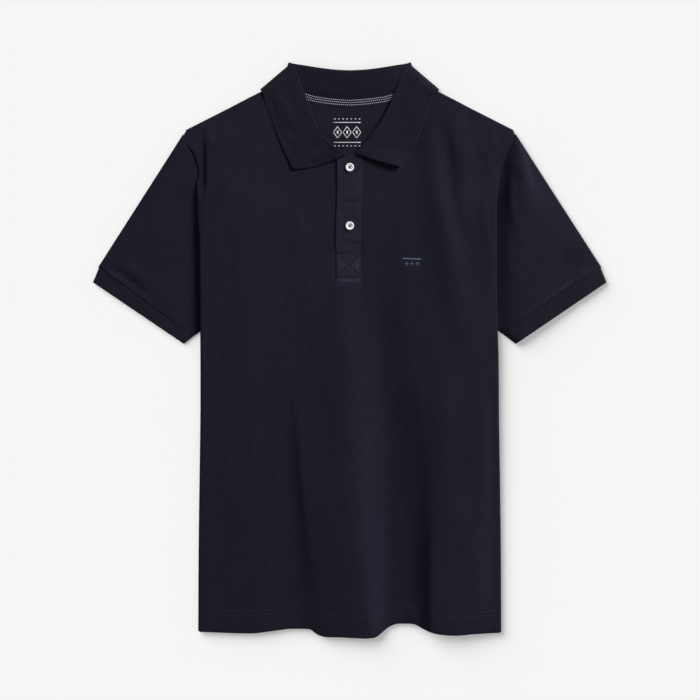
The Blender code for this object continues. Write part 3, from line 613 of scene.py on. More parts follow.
def grain(grid, centre, ring):
    """Place of every grid point in the flat cloth: along its row from the centre, and up its column."""
    shown = np.concatenate([grid, grid[:, :1]], axis=1) if ring else grid
    across = np.cumsum(np.linalg.norm(np.diff(shown, axis=1), axis=2), axis=1)
    across = np.concatenate([np.zeros((len(grid), 1)), across], axis=1)
    across = across - across[:, centre : centre + 1]
    up = np.cumsum(np.linalg.norm(np.diff(shown, axis=0), axis=2), axis=0)
    up = np.concatenate([np.zeros((1, shown.shape[1])), up], axis=0)
    return np.stack([across, up], axis=-1)


def wall(grid, thickness, keep=None, ring=False, centre=0):
    """A closed cloth wall with round edges on a grid of middle-layer points. keep marks the cells with
    cloth, and ring joins the last column to the first."""
    rows, columns = grid.shape[:2]
    numbers = np.arange(rows * columns).reshape(rows, columns)
    if ring:
        numbers = np.hstack([numbers, numbers[:, :1]])
    cells = grid_corners(numbers)
    spots = grid_corners(np.arange(numbers.size).reshape(numbers.shape))
    if keep is not None:
        cells, spots = cells[keep], spots[keep]
    cells, spots = cells.reshape(-1, 4), spots.reshape(-1, 4)
    points = grid.reshape(-1, 3)
    count = len(points)
    normals = vertex_normals(points, cells)
    start, end = cells.ravel(), np.roll(cells, -1, axis=1).ravel()
    open_side = ~np.isin(start * count + end, end * count + start)
    spot_start, spot_end = spots.ravel()[open_side], np.roll(spots, -1, axis=1).ravel()[open_side]
    start, end = start[open_side], end[open_side]
    away = np.cross(points[end] - points[start], normals[start] + normals[end])
    away /= np.linalg.norm(away, axis=1)[:, None] + 1e-9
    reach = np.zeros_like(points)
    np.add.at(reach, start, away)
    np.add.at(reach, end, away)
    reach /= np.linalg.norm(reach, axis=1)[:, None] + 1e-9
    thickness = np.broadcast_to(thickness, (rows, columns)).reshape(-1, 1)
    half = normals * thickness / 2
    vertices = np.vstack([points + half, points - half, points + reach * thickness * 0.4])
    middle = 2 * count
    faces = [
        cells,
        cells[:, ::-1] + count,
        np.stack([end, start, start + middle, end + middle], axis=-1),
        np.stack([end + middle, start + middle, start + count, end + count], axis=-1),
    ]
    rim_spots = np.stack([spot_end, spot_start, spot_start, spot_end], axis=-1)
    places = np.vstack([spots, spots[:, ::-1], rim_spots, rim_spots])
    cloth = grain(grid, centre, ring).reshape(-1, 2)[places]
    return vertices, np.vstack(faces), cloth


def strands(starts, ends, radius, arch, sides=6, rings=5, up=(0, 0, 1)):
    """Short lengths of thread, each bowed up between its ends and round in section."""
    starts, ends = np.asarray(starts, float), np.asarray(ends, float)
    along = unit(ends - starts)
    across = unit(np.cross(along, np.asarray(up, float)))
    above = np.cross(across, along)
    share = np.linspace(0, 1, rings)
    bow = np.sin(math.pi * share)
    thick = radius * (0.45 + 0.55 * np.sqrt(bow))
    centres = mix(starts[:, None], ends[:, None], share[None, :, None])
    centres = centres + above[:, None] * (arch * bow)[None, :, None]
    angle = 2 * math.pi * np.arange(sides) / sides
    ring = np.cos(angle)[None, :, None] * across[:, None] + np.sin(angle)[None, :, None] * above[:, None]
    vertices = centres[:, :, None] + ring[:, None] * thick[None, :, None, None]
    one = np.arange(rings * sides).reshape(rings, sides)
    around = np.hstack([one, one[:, :1]])
    faces = [grid_corners(around).reshape(-1, 4)]
    for ends_ring, flip in ((one[0], True), (one[-1], False)):
        for k in range(1, sides - 2, 2):
            cap = ends_ring[[0, k, k + 1, k + 2]]
            faces.append(cap[None, ::-1] if flip else cap[None])
    faces = np.vstack(faces)[:, ::-1]
    every = faces[None] + (np.arange(len(starts)) * rings * sides)[:, None, None]
    every = every.reshape(-1, 4)
    vertices = vertices.reshape(-1, 3)
    return vertices, every, vertices[:, :2][every]


def seam_stitches(path, pitch, length, radius, arch):
    """A row of stitches along a path of points on the cloth."""
    starts = np.arange(pitch / 2, lengths_along(path)[-1] - length, pitch)
    return strands(points_along(path, starts), points_along(path, starts + length), radius, arch)


def joined(parts):
    vertices, faces, cloth, count = [], [], [], 0
    for part in parts:
        vertices.append(part[0])
        faces.append(part[1] + count)
        cloth.append(part[2])
        count += len(part[0])
    return np.vstack(vertices), np.vstack(faces), np.vstack(cloth)


def placed(name, data):
    """An object in the scene."""
    made = bpy.data.objects.new(name, data)
    bpy.context.scene.collection.objects.link(made)
    return made


CLOTH_SHARP = 70
BUTTON_SHARP = 40


def piece(name, parts, material, replaces=(), painted_light=None):
    """A mesh object that rides on the shirt, from one part or several. Its last argument charts painted
    light: painted highlights where the chart is above 0, painted shade where it is below.
    """
    vertices, faces, cloth = joined(parts)
    used = np.unique(faces)
    renumber = np.zeros(len(vertices), int)
    renumber[used] = np.arange(len(used))
    mesh = bpy.data.meshes.new(name)
    mesh.from_pydata((vertices[used] * MILLIMETRE).tolist(), [], renumber[faces].tolist())
    layer = mesh.uv_layers.new(name="cloth")
    layer.data.foreach_set("uv", (cloth * MILLIMETRE).astype(np.float32).ravel())
    if painted_light is not None:
        painted_tone = swelled(painted_light, vertices[used, 0], vertices[used, 1])
        mesh.attributes.new("painted_light", "FLOAT", "POINT").data.foreach_set("value", painted_tone.astype(np.float32))
    mesh.shade_smooth()
    mesh.set_sharp_from_angle(angle=math.radians(CLOTH_SHARP))
    mesh.materials.append(material)
    made = placed(name, mesh)
    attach(made, "root")
    if replaces:
        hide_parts(*replaces)
    return made


def patch(bottom, top, inner, outer, shares=None):
    """Plan points filling four edges: rows run from bottom to top, columns from inner to outer."""
    v = np.linspace(0, 1, len(inner))[:, None, None]
    shares = np.linspace(0, 1, len(bottom)) if shares is None else shares
    u = shares[None, :, None]
    between = (1 - v) * bottom[None] + v * top[None] + (1 - u) * inner[:, None] + u * outer[:, None]
    corners = (1 - u) * (1 - v) * bottom[0] + u * (1 - v) * bottom[-1]
    return between - corners - (1 - u) * v * top[0] - u * v * top[-1]


def with_level(plan, level, side=1):
    x, y = plan[..., 0] * side, plan[..., 1]
    return xyz(x, y, level(x, y))


# ---- neck seam ----


def collar_sections(side):
    """The chart's sections of one half with smooth ones between."""
    place = np.arange(len(COLLAR["turn"]), dtype=float)
    chart = {"place": place, **COLLAR}
    steps = [np.linspace(i, i + 1, n, endpoint=False) for i, n in enumerate(COLLAR_STEPS)]
    at = np.append(np.concatenate(steps), place[-1])
    full = {name: read(chart, name, at) for name in COLLAR}
    if side > 0:
        drop = RIGHT_LEAF_DROP * np.clip(1 - at / 2.5, 0, 1)
        for name, change in (
            ("fold_x", full["fold_dx"]),
            ("edge_x", full["edge_dx"]),
            ("edge_y", full["edge_dy"]),
            ("fold_z", -drop),
            ("seam_z", -0.8 * drop),
            ("bend", -0.25 * drop),
        ):
            full[name] = full[name] + change
    full["place"] = at
    return full


def neck_seam(first, last, clear):
    """Plan points of the neck seam between two chart rows, moved away from the collar."""
    full = collar_sections(-1)
    counts = np.concatenate([[0], np.cumsum(COLLAR_STEPS)])
    pick = slice(counts[first], counts[last] + 1)
    seam = np.stack([full["seam_x"][pick], full["seam_y"][pick]], axis=-1)
    fold = np.stack([full["fold_x"][pick], full["fold_y"][pick]], axis=-1)
    return seam + clear * unit(seam - fold)


# ---- front and back ----

SIDE_FOLD_CELLS = 8
SIDE_FOLD_BULGE = 0.6
STRIP_CELLS = 8


def wrapped(fold_plan, level, strip_level, side, inset):
    """Points from a side fold round and under to the edge of the tucked strip."""
    y = fold_plan[:, 1]
    top = level(side * fold_plan[:, 0], y)
    outside = body_half(y, side) - inset
    radius = (top - strip_level(y)) / 2
    bulge = radius * SIDE_FOLD_BULGE
    centre = outside - bulge
    columns = []
    for k in range(1, SIDE_FOLD_CELLS + 1):
        angle = math.pi * k / SIDE_FOLD_CELLS
        columns.append((centre + bulge * math.sin(angle), top - radius * (1 - math.cos(angle))))
    reach = np.maximum(tuck_depth(y) - (body_half(y, side) - centre), 1.5)
    for k in range(1, STRIP_CELLS + 1):
        columns.append((centre - reach * k / STRIP_CELLS, strip_level(y)))
    return np.stack([xyz(x * side, y, z) for x, z in columns], axis=1)


def fold_start(y, level, strip_level, side, inset):
    """Where the upper layer ends and the side fold begins."""
    outside = body_half(y, side) - inset
    radius = (level(side * outside, y) - strip_level(y)) / 2
    return outside - radius * SIDE_FOLD_BULGE


def laid_half(plan, level, strip_level, side, inset):
    """A half panel from its plan, with its hem waved and its side folded under."""
    plan[..., 1] += hem_wave(side * plan[..., 0], plan[..., 1])
    return np.hstack([with_level(plan, level, side), wrapped(plan[:, -1], level, strip_level, side, inset)])


def turned_hem(row, level, direction):
    """Rows of a folded hem from its raw edge to the fold. direction is the side it is turned to."""
    rows = []
    for share in (1, 0.72, 0.45, 0.2):
        y = row[:, 1] + HEM_DEPTH * share
        rows.append(xyz(row[:, 0], y, level(row[:, 0], y) + direction * 2 * HEM_FOLD))
    for angle in np.radians((180, 135, 90, 45)):
        turned = row.copy()
        turned[:, 1] -= HEM_FOLD * math.sin(angle)
        turned[:, 2] += direction * HEM_FOLD * (1 - math.cos(angle))
        rows.append(turned)
    return np.array(rows)


FRONT_SHARES = np.append(np.linspace(0, 0.86, 54), np.linspace(0.86, 1, 20)[1:])
CENTRE_COLUMNS = 9
SLIT_ROWS = 30
NECK_ROWS = 34
FRONT_ROW_PITCH = 3.9
HEM_START = HEM_Y + HEM_FOLD
SHOULDER_TURNS = (22.5, 45, 67.5, 90)


def front_half(side):
    """Grid of half the front, from the centre out and under, and from the hem to the shoulder."""
    neck = neck_seam(0, COLLAR_CORNER, FRONT_NECK_CLEAR)
    neck = neck[neck[:, 0] > SLIT_HALF + 1]
    along = unit(SHOULDER_POINT - NECK_POINT)
    inwards = np.array((along[1], -along[0]))
    neck_corner = NECK_POINT + inwards * (SHOULDER_ROLL + 0.6) + along * 2
    neck[-1] = neck_corner
    slit = line((SLIT_HALF, SLIT_Y), (SLIT_HALF, neck[0, 1] - 1.5), SLIT_ROWS)
    inner = np.vstack([slit, resampled(neck, NECK_ROWS)])
    arm_y = np.append(np.linspace(SLIT_Y, 200, SLIT_ROWS), np.linspace(202.5, SHOULDER_TOP_Y, NECK_ROWS))
    outer = np.stack([fold_start(arm_y, front_level, front_strip_level, side, FRONT_INSET), arm_y], axis=-1)
    bottom = mix(inner[0], outer[0], FRONT_SHARES[:, None])
    top = mix(neck_corner, outer[-1], FRONT_SHARES[:, None])
    upper = patch(bottom, top, inner, outer, FRONT_SHARES)
    body_rows = np.arange(HEM_START, SLIT_Y - 2, FRONT_ROW_PITCH)
    lower = []
    for row in body_rows:
        edge = fold_start(row, front_level, front_strip_level, side, FRONT_INSET)
        lower.append(mix(np.array((SLIT_HALF, row)), np.array((edge, row)), FRONT_SHARES[:, None]))
    grid = laid_half(np.vstack([np.array(lower), upper]), front_level, front_strip_level, side, FRONT_INSET)
    rolls = []
    for angle in np.radians(SHOULDER_TURNS):
        turned = grid[-1].copy()
        turned[:, 0] -= side * inwards[0] * SHOULDER_ROLL * math.sin(angle)
        turned[:, 1] -= inwards[1] * SHOULDER_ROLL * math.sin(angle)
        turned[:, 2] -= SHOULDER_ROLL * (1 - math.cos(angle))
        rolls.append(turned)
    grid = np.vstack([grid, np.array(rolls)])
    hem = turned_hem(grid[0], front_level, -1)
    return np.vstack([hem, grid]), len(hem), len(body_rows)


def front():
    right, hem_rows, body_rows = front_half(1)
    left, _, _ = front_half(-1)
    middle_x = np.linspace(-SLIT_HALF, SLIT_HALF, CENTRE_COLUMNS + 2)[1:-1]
    middle = mix(left[:, :1], right[:, :1], (middle_x[None, :, None] + SLIT_HALF) / (2 * SLIT_HALF))
    lower = slice(hem_rows, hem_rows + body_rows + 1)
    middle[lower, :, 2] = front_level(middle[lower, :, 0], middle[lower, :, 1])
    drop = middle[hem_rows, :, 2][None] - mix(left[hem_rows, 0, 2], right[hem_rows, 0, 2], 0.5)
    middle[:hem_rows, :, 2] += drop
    grid = np.hstack([left[:, ::-1], middle, right])
    keep = np.ones((grid.shape[0] - 1, grid.shape[1] - 1), bool)
    half = right.shape[1]
    wraps = SIDE_FOLD_CELLS + STRIP_CELLS
    keep[hem_rows + body_rows :, half - 1 : half + CENTRE_COLUMNS] = False
    for columns in (slice(None, wraps), slice(-wraps, None)):
        keep[-len(SHOULDER_TURNS) :, columns] = False
        keep[:hem_rows, columns] = False
    return wall(grid, PIQUE_WALL, keep, centre=half + CENTRE_COLUMNS // 2)


BACK_NECK_COLUMNS = 20
BACK_SHOULDER_COLUMNS = 18
BACK_ARM_ROWS = 34
BACK_ROW_PITCH = 9


def back_half(side):
    """Grid of half the back, from the centre out and under. Only its tucked rows have a strip."""
    arm_y = np.linspace(SLIT_Y, SHOULDER_TOP_Y, BACK_ARM_ROWS)
    seam = neck_seam(COLLAR_CORNER, len(COLLAR_STEPS), BACK_NECK_CLEAR)
    neck = resampled(seam[::-1], BACK_NECK_COLUMNS + 1)
    columns = BACK_NECK_COLUMNS + 1 + BACK_SHOULDER_COLUMNS
    inset = np.array((-0.3, -0.6))
    shoulder = line(NECK_POINT + inset, SHOULDER_POINT + inset, BACK_SHOULDER_COLUMNS + 1)
    top = np.vstack([neck, shoulder[1:]])
    hidden = back_tucked(arm_y) > 0.999
    shown_edge = body_half(arm_y, side) - mix(5.5, 0.4, ramp(arm_y, 248, 270))
    tucked_edge = fold_start(arm_y, back_level, back_strip_level, side, BACK_NEST)
    outer = np.stack([np.where(hidden, tucked_edge, shown_edge), arm_y], axis=-1)
    outer[-1] = top[-1]
    inner = line((0, arm_y[0]), top[0], len(arm_y))
    upper = patch(line(inner[0], outer[0], columns), top, inner, outer)
    lower = []
    for row in np.arange(HEM_START + BACK_HEM_RISE, SLIT_Y - 4, BACK_ROW_PITCH):
        edge = fold_start(row, back_level, back_strip_level, side, BACK_NEST)
        lower.append(line((0, row), (edge, row), columns))
    grid = laid_half(np.vstack([np.array(lower), upper]), back_level, back_strip_level, side, BACK_NEST)
    hem = turned_hem(grid[0], back_level, 1)
    return np.vstack([hem, grid]), len(hem), len(hem) + len(lower) + int(hidden.sum())


def back():
    right, hem_rows, tucked_rows = back_half(1)
    left, _, _ = back_half(-1)
    grid = np.hstack([left[:, :0:-1], right])
    keep = np.ones((grid.shape[0] - 1, grid.shape[1] - 1), bool)
    wraps = SIDE_FOLD_CELLS + STRIP_CELLS
    for columns in (slice(None, wraps), slice(-wraps, None)):
        keep[tucked_rows - 1 :, columns] = False
        keep[:hem_rows, columns] = False
    return wall(grid, PIQUE_WALL, keep, centre=left.shape[1] - 1)


# ---- sleeves and cuffs ----

# Along the hem towards the body, along the underarm towards the armpit, and square in from that edge
HEM_DIRECTION = unit(CUFF_HEEL - CUFF_TIP)
UNDERARM_DIRECTION = unit(ARMPIT - CUFF_HEEL)
FROM_UNDERARM = np.array((UNDERARM_DIRECTION[1], -UNDERARM_DIRECTION[0]))
TUBE_COLUMNS = 67
SLEEVE_ROWS = 52
CUFF_ROWS = 11
BEND_POINTS = 5


def tube(plan, level, floor, outer_fold, under_fold, side):
    """Rings of a flattened tube: upper layer, fold under the arm, lower layer and outer fold."""
    upper = with_level(plan, level, side)
    outwards = unit(plan[:, 0] - plan[:, 1])
    armwards = unit(plan[:, -1] - plan[:, -2])
    lower = upper[:, ::-2].copy()
    lower[..., 2] = floor
    rings = [upper]
    for at, away, size in ((-1, armwards, under_fold), (0, outwards, outer_fold)):
        bends = []
        height = upper[:, at, 2] - floor
        for k in range(1, BEND_POINTS + 1):
            angle = math.pi * k / (BEND_POINTS + 1)
            point = upper[:, at].copy()
            point[:, 0] += side * away[:, 0] * size * math.sin(angle)
            point[:, 1] += away[:, 1] * size * math.sin(angle)
            point[:, 2] = upper[:, at, 2] - height * (1 - math.cos(angle)) / 2
            bends.append(point)
        bends = np.stack(bends, axis=1)
        rings += [bends, lower] if at == -1 else [bends[:, ::-1]]
    grid = np.hstack(rings)
    return grid if side > 0 else grid[:, ::-1]


def arm_edge(y, side):
    """Where the sleeve ends at the armhole: beside the seam that shows, or under the tucked strip."""
    shown = body_half(y, side) + SEAM_GAP / 3
    hidden = body_half(y, side) - tuck_depth(y)
    return mix(hidden, shown, ramp(y, 196, 220))


def sleeve(side):
    """A sleeve as rings from the cuff's seam up to the armhole."""
    inset = UNDERARM_FOLD + 0.6
    start = SLEEVE_TIP + HEM_DIRECTION * (SLEEVE_FOLD + 0.6)
    end = UNDERARM_CORNER[side] + FROM_UNDERARM * inset
    armpit = ARMPIT + FROM_UNDERARM * inset
    arm_y = np.append(np.linspace(278.5, 70.5, TUBE_COLUMNS - 1), armpit[1])
    arm_y[0] = SHOULDER_TOP_Y - 6
    arm = np.stack([arm_edge(arm_y, side), arm_y], axis=-1)
    cuff_end = line(start, end, len(arm))
    outer = line(start, arm[0], SLEEVE_ROWS)
    plan = patch(cuff_end, arm, outer, line(end, arm[-1], SLEEVE_ROWS))
    grid = tube(plan, sleeve_level, FLOOR_LEVEL, SLEEVE_FOLD, UNDERARM_FOLD, side)
    return wall(grid, PIQUE_WALL, ring=True)


def cuff_level(x, y):
    return sleeve_level(x, y) - 0.3 * ramp(inside_underarm(x, y), 2, 20) + 0.1


def cuff(side):
    """A cuff band as rings from the sleeve opening up to its seam."""
    inset = UNDERARM_FOLD + 0.7
    down_arm = unit(CUFF_TIP - SLEEVE_TIP)
    start = SLEEVE_TIP + HEM_DIRECTION * (CUFF_STEP + CUFF_FOLD + 0.7) + down_arm * SEAM_GAP
    end = UNDERARM_CORNER[side] + FROM_UNDERARM * inset - UNDERARM_DIRECTION * SEAM_GAP * 2
    tip = CUFF_TIP + HEM_DIRECTION * (CUFF_FOLD + 0.7)
    heel = CUFF_HEEL + FROM_UNDERARM * inset
    rows = line(tip, start, CUFF_ROWS)
    ends = line(heel, end, CUFF_ROWS)
    plan = np.array([line(first, last, TUBE_COLUMNS) for first, last in zip(rows, ends)])
    grid = tube(plan, cuff_level, 0.7, CUFF_FOLD, UNDERARM_FOLD, side)
    return wall(grid, RIB_WALL, ring=True)


# ---- collar ----

STAND_CELLS = 9
BEND_CELLS = 8
FALL_SHARES = np.append(np.linspace(0, 0.93, 24), (0.941, 0.952, 0.961, 0.97, 0.978, 0.985, 0.993, 1))


def collar_half(side):
    """Grid of half the collar: a row for each section, from the neck seam over the fold to the edge."""
    full = collar_sections(side)
    sections = []
    for i in range(len(full["turn"])):
        at = {name: values[i] for name, values in full.items()}
        seam = np.array((at["seam_x"] * side, at["seam_y"], at["seam_z"]))
        fold = np.array((at["fold_x"] * side, at["fold_y"], at["fold_z"]))
        edge = np.array((at["edge_x"] * side, at["edge_y"], at["edge_z"]))
        fall = unit((edge - fold)[:2])
        bulge = np.array((-fall[0], -fall[1], 0))
        outward = np.array((-fall[1], fall[0])) * -side
        turn = math.radians(at["turn"])
        lean = np.array((outward[0] * math.sin(turn), outward[1] * math.sin(turn), math.cos(turn)))
        bend = at["bend"]
        stand_end = fold - lean * bend
        fall_start = fold + lean * bend
        points = []
        for share in np.linspace(0, 1, STAND_CELLS + 1)[:-1]:
            point = mix(seam, stand_end, share)
            point[2] += STAND_BOW * math.sin(math.pi * share) * ramp(at["turn"], 0, 30)
            points.append(point)
        for angle in np.linspace(0, math.pi, BEND_CELLS + 1)[:-1]:
            points.append(fold + bulge * bend * math.sin(angle) - lean * bend * math.cos(angle))
        bow = LEAF_BOW[side] * max(0, 1 - at["place"] / 2)
        sag = LEAF_SAG[side] * max(0, 1 - at["place"] / 2.5)
        showing = 1 - ramp(at["turn"], 0, 60)
        for share in FALL_SHARES:
            point = mix(fall_start, edge, share)
            point[1] -= bow * 4 * share * (1 - share)
            point[2] -= sag * ramp(abs(point[0]), 12, 27) * ramp(share, 1, 0.6)
            swell = swelled(LEAF_SWELLS[side], point[0], point[1])
            point[2] += swell * showing * ramp(share, 0, 0.2)
            point[2] += RIM_SIZE[side] * showing * read(FREE_RIM, "rise", share)
            points.append(point)
        sections.append(points)
    return np.array(sections)


def collar():
    left = collar_half(-1)
    right = collar_half(1)
    grid = np.vstack([left, right[-2::-1]])
    return wall(grid, RIB_WALL)


# ---- placket, tape and buttons ----


def beside(value, place, width):
    return np.exp(-(((value - place) / width) ** 2))


def placket_thickness(x, y):
    fading = mix(0.35, 1, ramp(y, PLACKET_BOTTOM, PLACKET_BOTTOM + 11))
    sewn_edge = mix(0.75, 1, ramp(PLACKET_RIGHT - x, 0, 6))
    return PLACKET_WALL * fading * sewn_edge


def placket_level(x, y):
    """The upper band before it leans: its left edge stands free of the front, and seams pull it in."""
    lift = mix(0.7, 1.15, ramp(y, BOX_BOTTOM, BUTTON_YS[1] - 10))
    shown_x = x + placket_lean(y)
    under = front_level(shown_x, y) - placket_step(y) * beside_placket(shown_x, y)
    resting = under + lift + (placket_thickness(x, y) - PLACKET_WALL) / 2
    above_box = ramp(y, BOX_TOP - 2, BOX_TOP + 16)
    free = ramp(x, -4, PLACKET_LEFT) ** 1.3 * (0.2 * above_box + 0.7 * ramp(y, 205, 235))
    in_box = window(y, BOX_BOTTOM - 1, BOX_BOTTOM + 1, BOX_TOP - 1, BOX_TOP + 2)
    centre = (PLACKET_LEFT + PLACKET_RIGHT) / 2
    share = (y - BOX_BOTTOM) / (BOX_TOP - BOX_BOTTOM)
    half = (PLACKET_RIGHT - PLACKET_LEFT) / 2 - 1.6
    cross = np.maximum(
        beside(x, centre + half * (2 * share - 1), 1.2),
        beside(x, centre - half * (2 * share - 1), 1.2),
    )
    pulled = np.maximum(cross * in_box, np.maximum(beside(y, BOX_TOP, 1), beside(y, BOX_BOTTOM, 1)))
    sunk = 0.8 * ramp(x, PLACKET_LEFT + 3, PLACKET_LEFT) * (1 - above_box)
    puffed = 0.35 * in_box * (1 - cross)
    return resting + free - sunk - 0.3 * pulled + puffed + 1.5 * swelled(PLACKET_SWELLS, x, y)


def band(x_range, y_range, columns, rows, level, thickness):
    """An upright band of cloth that follows a level."""
    x, y = np.meshgrid(np.linspace(*x_range, columns), np.linspace(*y_range, rows))
    if callable(thickness):
        thickness = thickness(x, y)
    shown_x = x + (placket_lean(y) if level is placket_level else 0)
    return wall(xyz(shown_x, y, level(x, y)), thickness, centre=columns // 2)


def placket_under_level(x, y):
    return front_level(x, y) - 1.2 - 0.35


def tape_level(across):
    """The tape lies on the back below the neck seam and on the collar's stand above it."""
    return 3.12 + 0.48 * ramp(across, -3, 0.5) + 0.75 * ramp(across, 0, 6.5)


def tape_point(x, across):
    seam = neck_seam(COLLAR_CORNER, len(COLLAR_STEPS), 0)[::-1]
    y = np.interp(np.abs(x), seam[:, 0], seam[:, 1]) + across
    return xyz(x, y, tape_level(across))


def neck_tape():
    x = np.linspace(-TAPE_HALF_LENGTH, TAPE_HALF_LENGTH, 63)
    rows = [tape_point(x, shift) for shift in np.linspace(-TAPE_DROP, TAPE_RISE, 11)]
    return wall(np.array(rows), TAPE_WALL, centre=31)


DASH_PITCH = 2.7
DASH_LENGTH = 1.8
DASH_ROWS = (-1.8, 1.2, 4)


def tape_dashes():
    """Rows of pale woven dashes, staggered."""
    parts = []
    lift = np.array((0, 0, TAPE_WALL / 2 + 0.1))
    for row, across in enumerate(DASH_ROWS):
        x = np.arange(1.5 + row * DASH_PITCH / 2 - TAPE_HALF_LENGTH, TAPE_HALF_LENGTH - 2.5, DASH_PITCH)
        starts, ends = tape_point(x, across), tape_point(x + DASH_LENGTH, across)
        parts.append(strands(starts + lift, ends + lift, 0.5, 0.12))
    return parts


# ---- materials ----

# Sizes of the patterns in millimetres. Pitches are those of the real knits, but for the twill's. Places are
# how wide one thick or thin place is: in the yarn, in a streak along single wales or courses, where the
# cloth has worn, in a thread's fibres, in the resin's cloud, in the ink and in the paper.
PIQUE_PITCH = 1.2
WALE_PITCH = 1.15
COURSE_PITCH = 1.5
TWILL_PITCH = 1.2
YARN_PLACE = 2.3256
STREAK_PLACE = 3.0303
WORN_PLACE = 14.286
FIBRE_PLACE = 0.66667
CLOUD_PLACE = 3.8462
INK_PLACE = 1.1111
PAPER_PLACE = 16.667
# How much narrower than long streaks and worn places are
STREAK_SHARE = 0.22


def linear(text):
    """A linear colour from an sRGB hex value."""
    values = [int(text[i : i + 2], 16) / 255 for i in (1, 3, 5)]
    return [v / 12.92 if v <= 0.04045 else ((v + 0.055) / 1.055) ** 2.4 for v in values] + [1]


def toned(text, gain):
    """The linear colour of an sRGB hex value, lighter or darker by a gain."""
    return [min(1, value * gain) for value in linear(text)[:3]] + [1]


def swings(millimetres):
    """How many times a pattern of this size goes into a metre."""
    return 1 / (millimetres * MILLIMETRE)


def add(tree, kind, inputs=None, **settings):
    """Adds a node, makes its settings, and gives each named input a value or another node's output."""
    node = tree.nodes.new("ShaderNode" + kind)
    for name, value in settings.items():
        setattr(node, name, value)
    for name, value in (inputs or {}).items():
        if isinstance(value, bpy.types.NodeSocket):
            tree.links.new(value, node.inputs[name])
        else:
            node.inputs[name].default_value = value
    return node


def new_material(name):
    made = bpy.data.materials.new(name)
    made.use_nodes = True
    made.node_tree.nodes.clear()
    return made, made.node_tree


def repeat(tree, coordinate, pitch):
    """A wave from -1 to 1 along one cloth coordinate, one swing every pitch millimetres."""
    scaled = add(tree, "Math", {0: coordinate, 1: 2 * math.pi * swings(pitch)}, operation="MULTIPLY")
    return add(tree, "Math", {0: scaled.outputs[0]}, operation="SINE").outputs[0]


def knit(name, deep, high, stitch, roughness, fine, broad, bump, sheen=0.1):
    """A knitted cotton: deep in the stitches' gaps, lighter on their loops, uneven as its yarn is, with
    painted highlights and painted shade added from the mesh's chart of painted light. fine and broad say how
    uneven it is from loop to loop and from place to place."""
    made, tree = new_material(name)
    cloth = add(tree, "UVMap", uv_map="cloth").outputs["UV"]
    parts = add(tree, "SeparateXYZ", {0: cloth})
    loops = stitch(tree, parts.outputs["X"], parts.outputs["Y"])
    upright = add(tree, "Mapping", {"Vector": cloth, "Scale": (1, STREAK_SHARE, 1)}).outputs["Vector"]
    level = add(tree, "Mapping", {"Vector": cloth, "Scale": (STREAK_SHARE, 1, 1)}).outputs["Vector"]
    noises = []
    for place, size, detail, uneven in (
        (cloth, YARN_PLACE, 3, 0.6),
        (upright, STREAK_PLACE, 2, 0.5),
        (level, STREAK_PLACE, 2, 0.5),
        (upright, WORN_PLACE, 2, 0.5),
    ):
        swing = {"Vector": place, "Scale": swings(size), "Detail": detail, "Roughness": uneven}
        noises.append(add(tree, "TexNoise", swing).outputs["Fac"])
    least = 0.5 - fine * 0.5 - broad * 0.5
    shade = add(tree, "Math", {0: loops, 1: 0.14, 2: least}, operation="MULTIPLY_ADD")
    for noise, gain in zip(noises, (fine * 0.5, fine * 0.25, fine * 0.25, broad)):
        shade = add(tree, "Math", {0: noise, 1: gain, 2: shade.outputs[0]}, operation="MULTIPLY_ADD")
    # Painted light from the mesh: painted highlights raise the tone and painted shade lowers it
    painted_light = add(tree, "Attribute", attribute_name="painted_light").outputs["Fac"]
    lit = add(tree, "Math", {0: shade.outputs[0], 1: painted_light}, operation="ADD")
    colour = add(tree, "ValToRGB", {"Fac": lit.outputs[0]})
    stops = colour.color_ramp.elements
    stops[0].color = linear(deep)
    stops[1].color = linear(high)
    stops[1].position = 0.75
    # The palest stop is reached only under painted highlights
    stops.new(1).color = toned(high, 1.7)
    height = add(tree, "Math", {0: noises[0], 1: 0.6, 2: loops}, operation="MULTIPLY_ADD")
    relief = add(tree, "Bump", {"Height": height.outputs[0], "Strength": bump, "Distance": 0.0003})
    surface = {
        "Base Color": colour.outputs["Color"],
        "Roughness": roughness,
        "Specular IOR Level": 0.12,
        "Sheen Weight": sheen,
        "Sheen Roughness": 0.45,
        "Sheen Tint": linear("#9aa0c4"),
        "Normal": relief.outputs["Normal"],
    }
    shader = add(tree, "BsdfPrincipled", surface)
    add(tree, "OutputMaterial", {"Surface": shader.outputs["BSDF"]})
    return made


def pique_stitch(tree, across, up):
    """Pique's diamonds, as far apart as on the real knit: two slanting waves crossed."""
    slant = add(tree, "Math", {0: across, 1: up}, operation="ADD").outputs[0]
    counter = add(tree, "Math", {0: across, 1: up}, operation="SUBTRACT").outputs[0]
    first, second = repeat(tree, slant, 2 * PIQUE_PITCH), repeat(tree, counter, 2 * PIQUE_PITCH)
    return add(tree, "Math", {0: first, 1: second}, operation="MULTIPLY").outputs[0]


def rib_stitch(tree, across, up):
    """Rib's wales, as far apart as on the real knit, with its fainter courses."""
    wale = repeat(tree, across, WALE_PITCH)
    course = repeat(tree, up, COURSE_PITCH)
    return add(tree, "Math", {0: course, 1: 0.35, 2: wale}, operation="MULTIPLY_ADD").outputs[0]


def collar_stitch(tree, across, up):
    """On the collar the wales run from the neck seam to the free edge."""
    return rib_stitch(tree, up, across)


def twill_stitch(tree, across, up):
    """The tape's slanting twill lines. Real ones are 0.6 mm apart along the tape, too fine to show, so they
    are drawn twice as coarse."""
    slant = add(tree, "Math", {0: across, 1: up}, operation="ADD").outputs[0]
    return repeat(tree, slant, TWILL_PITCH)


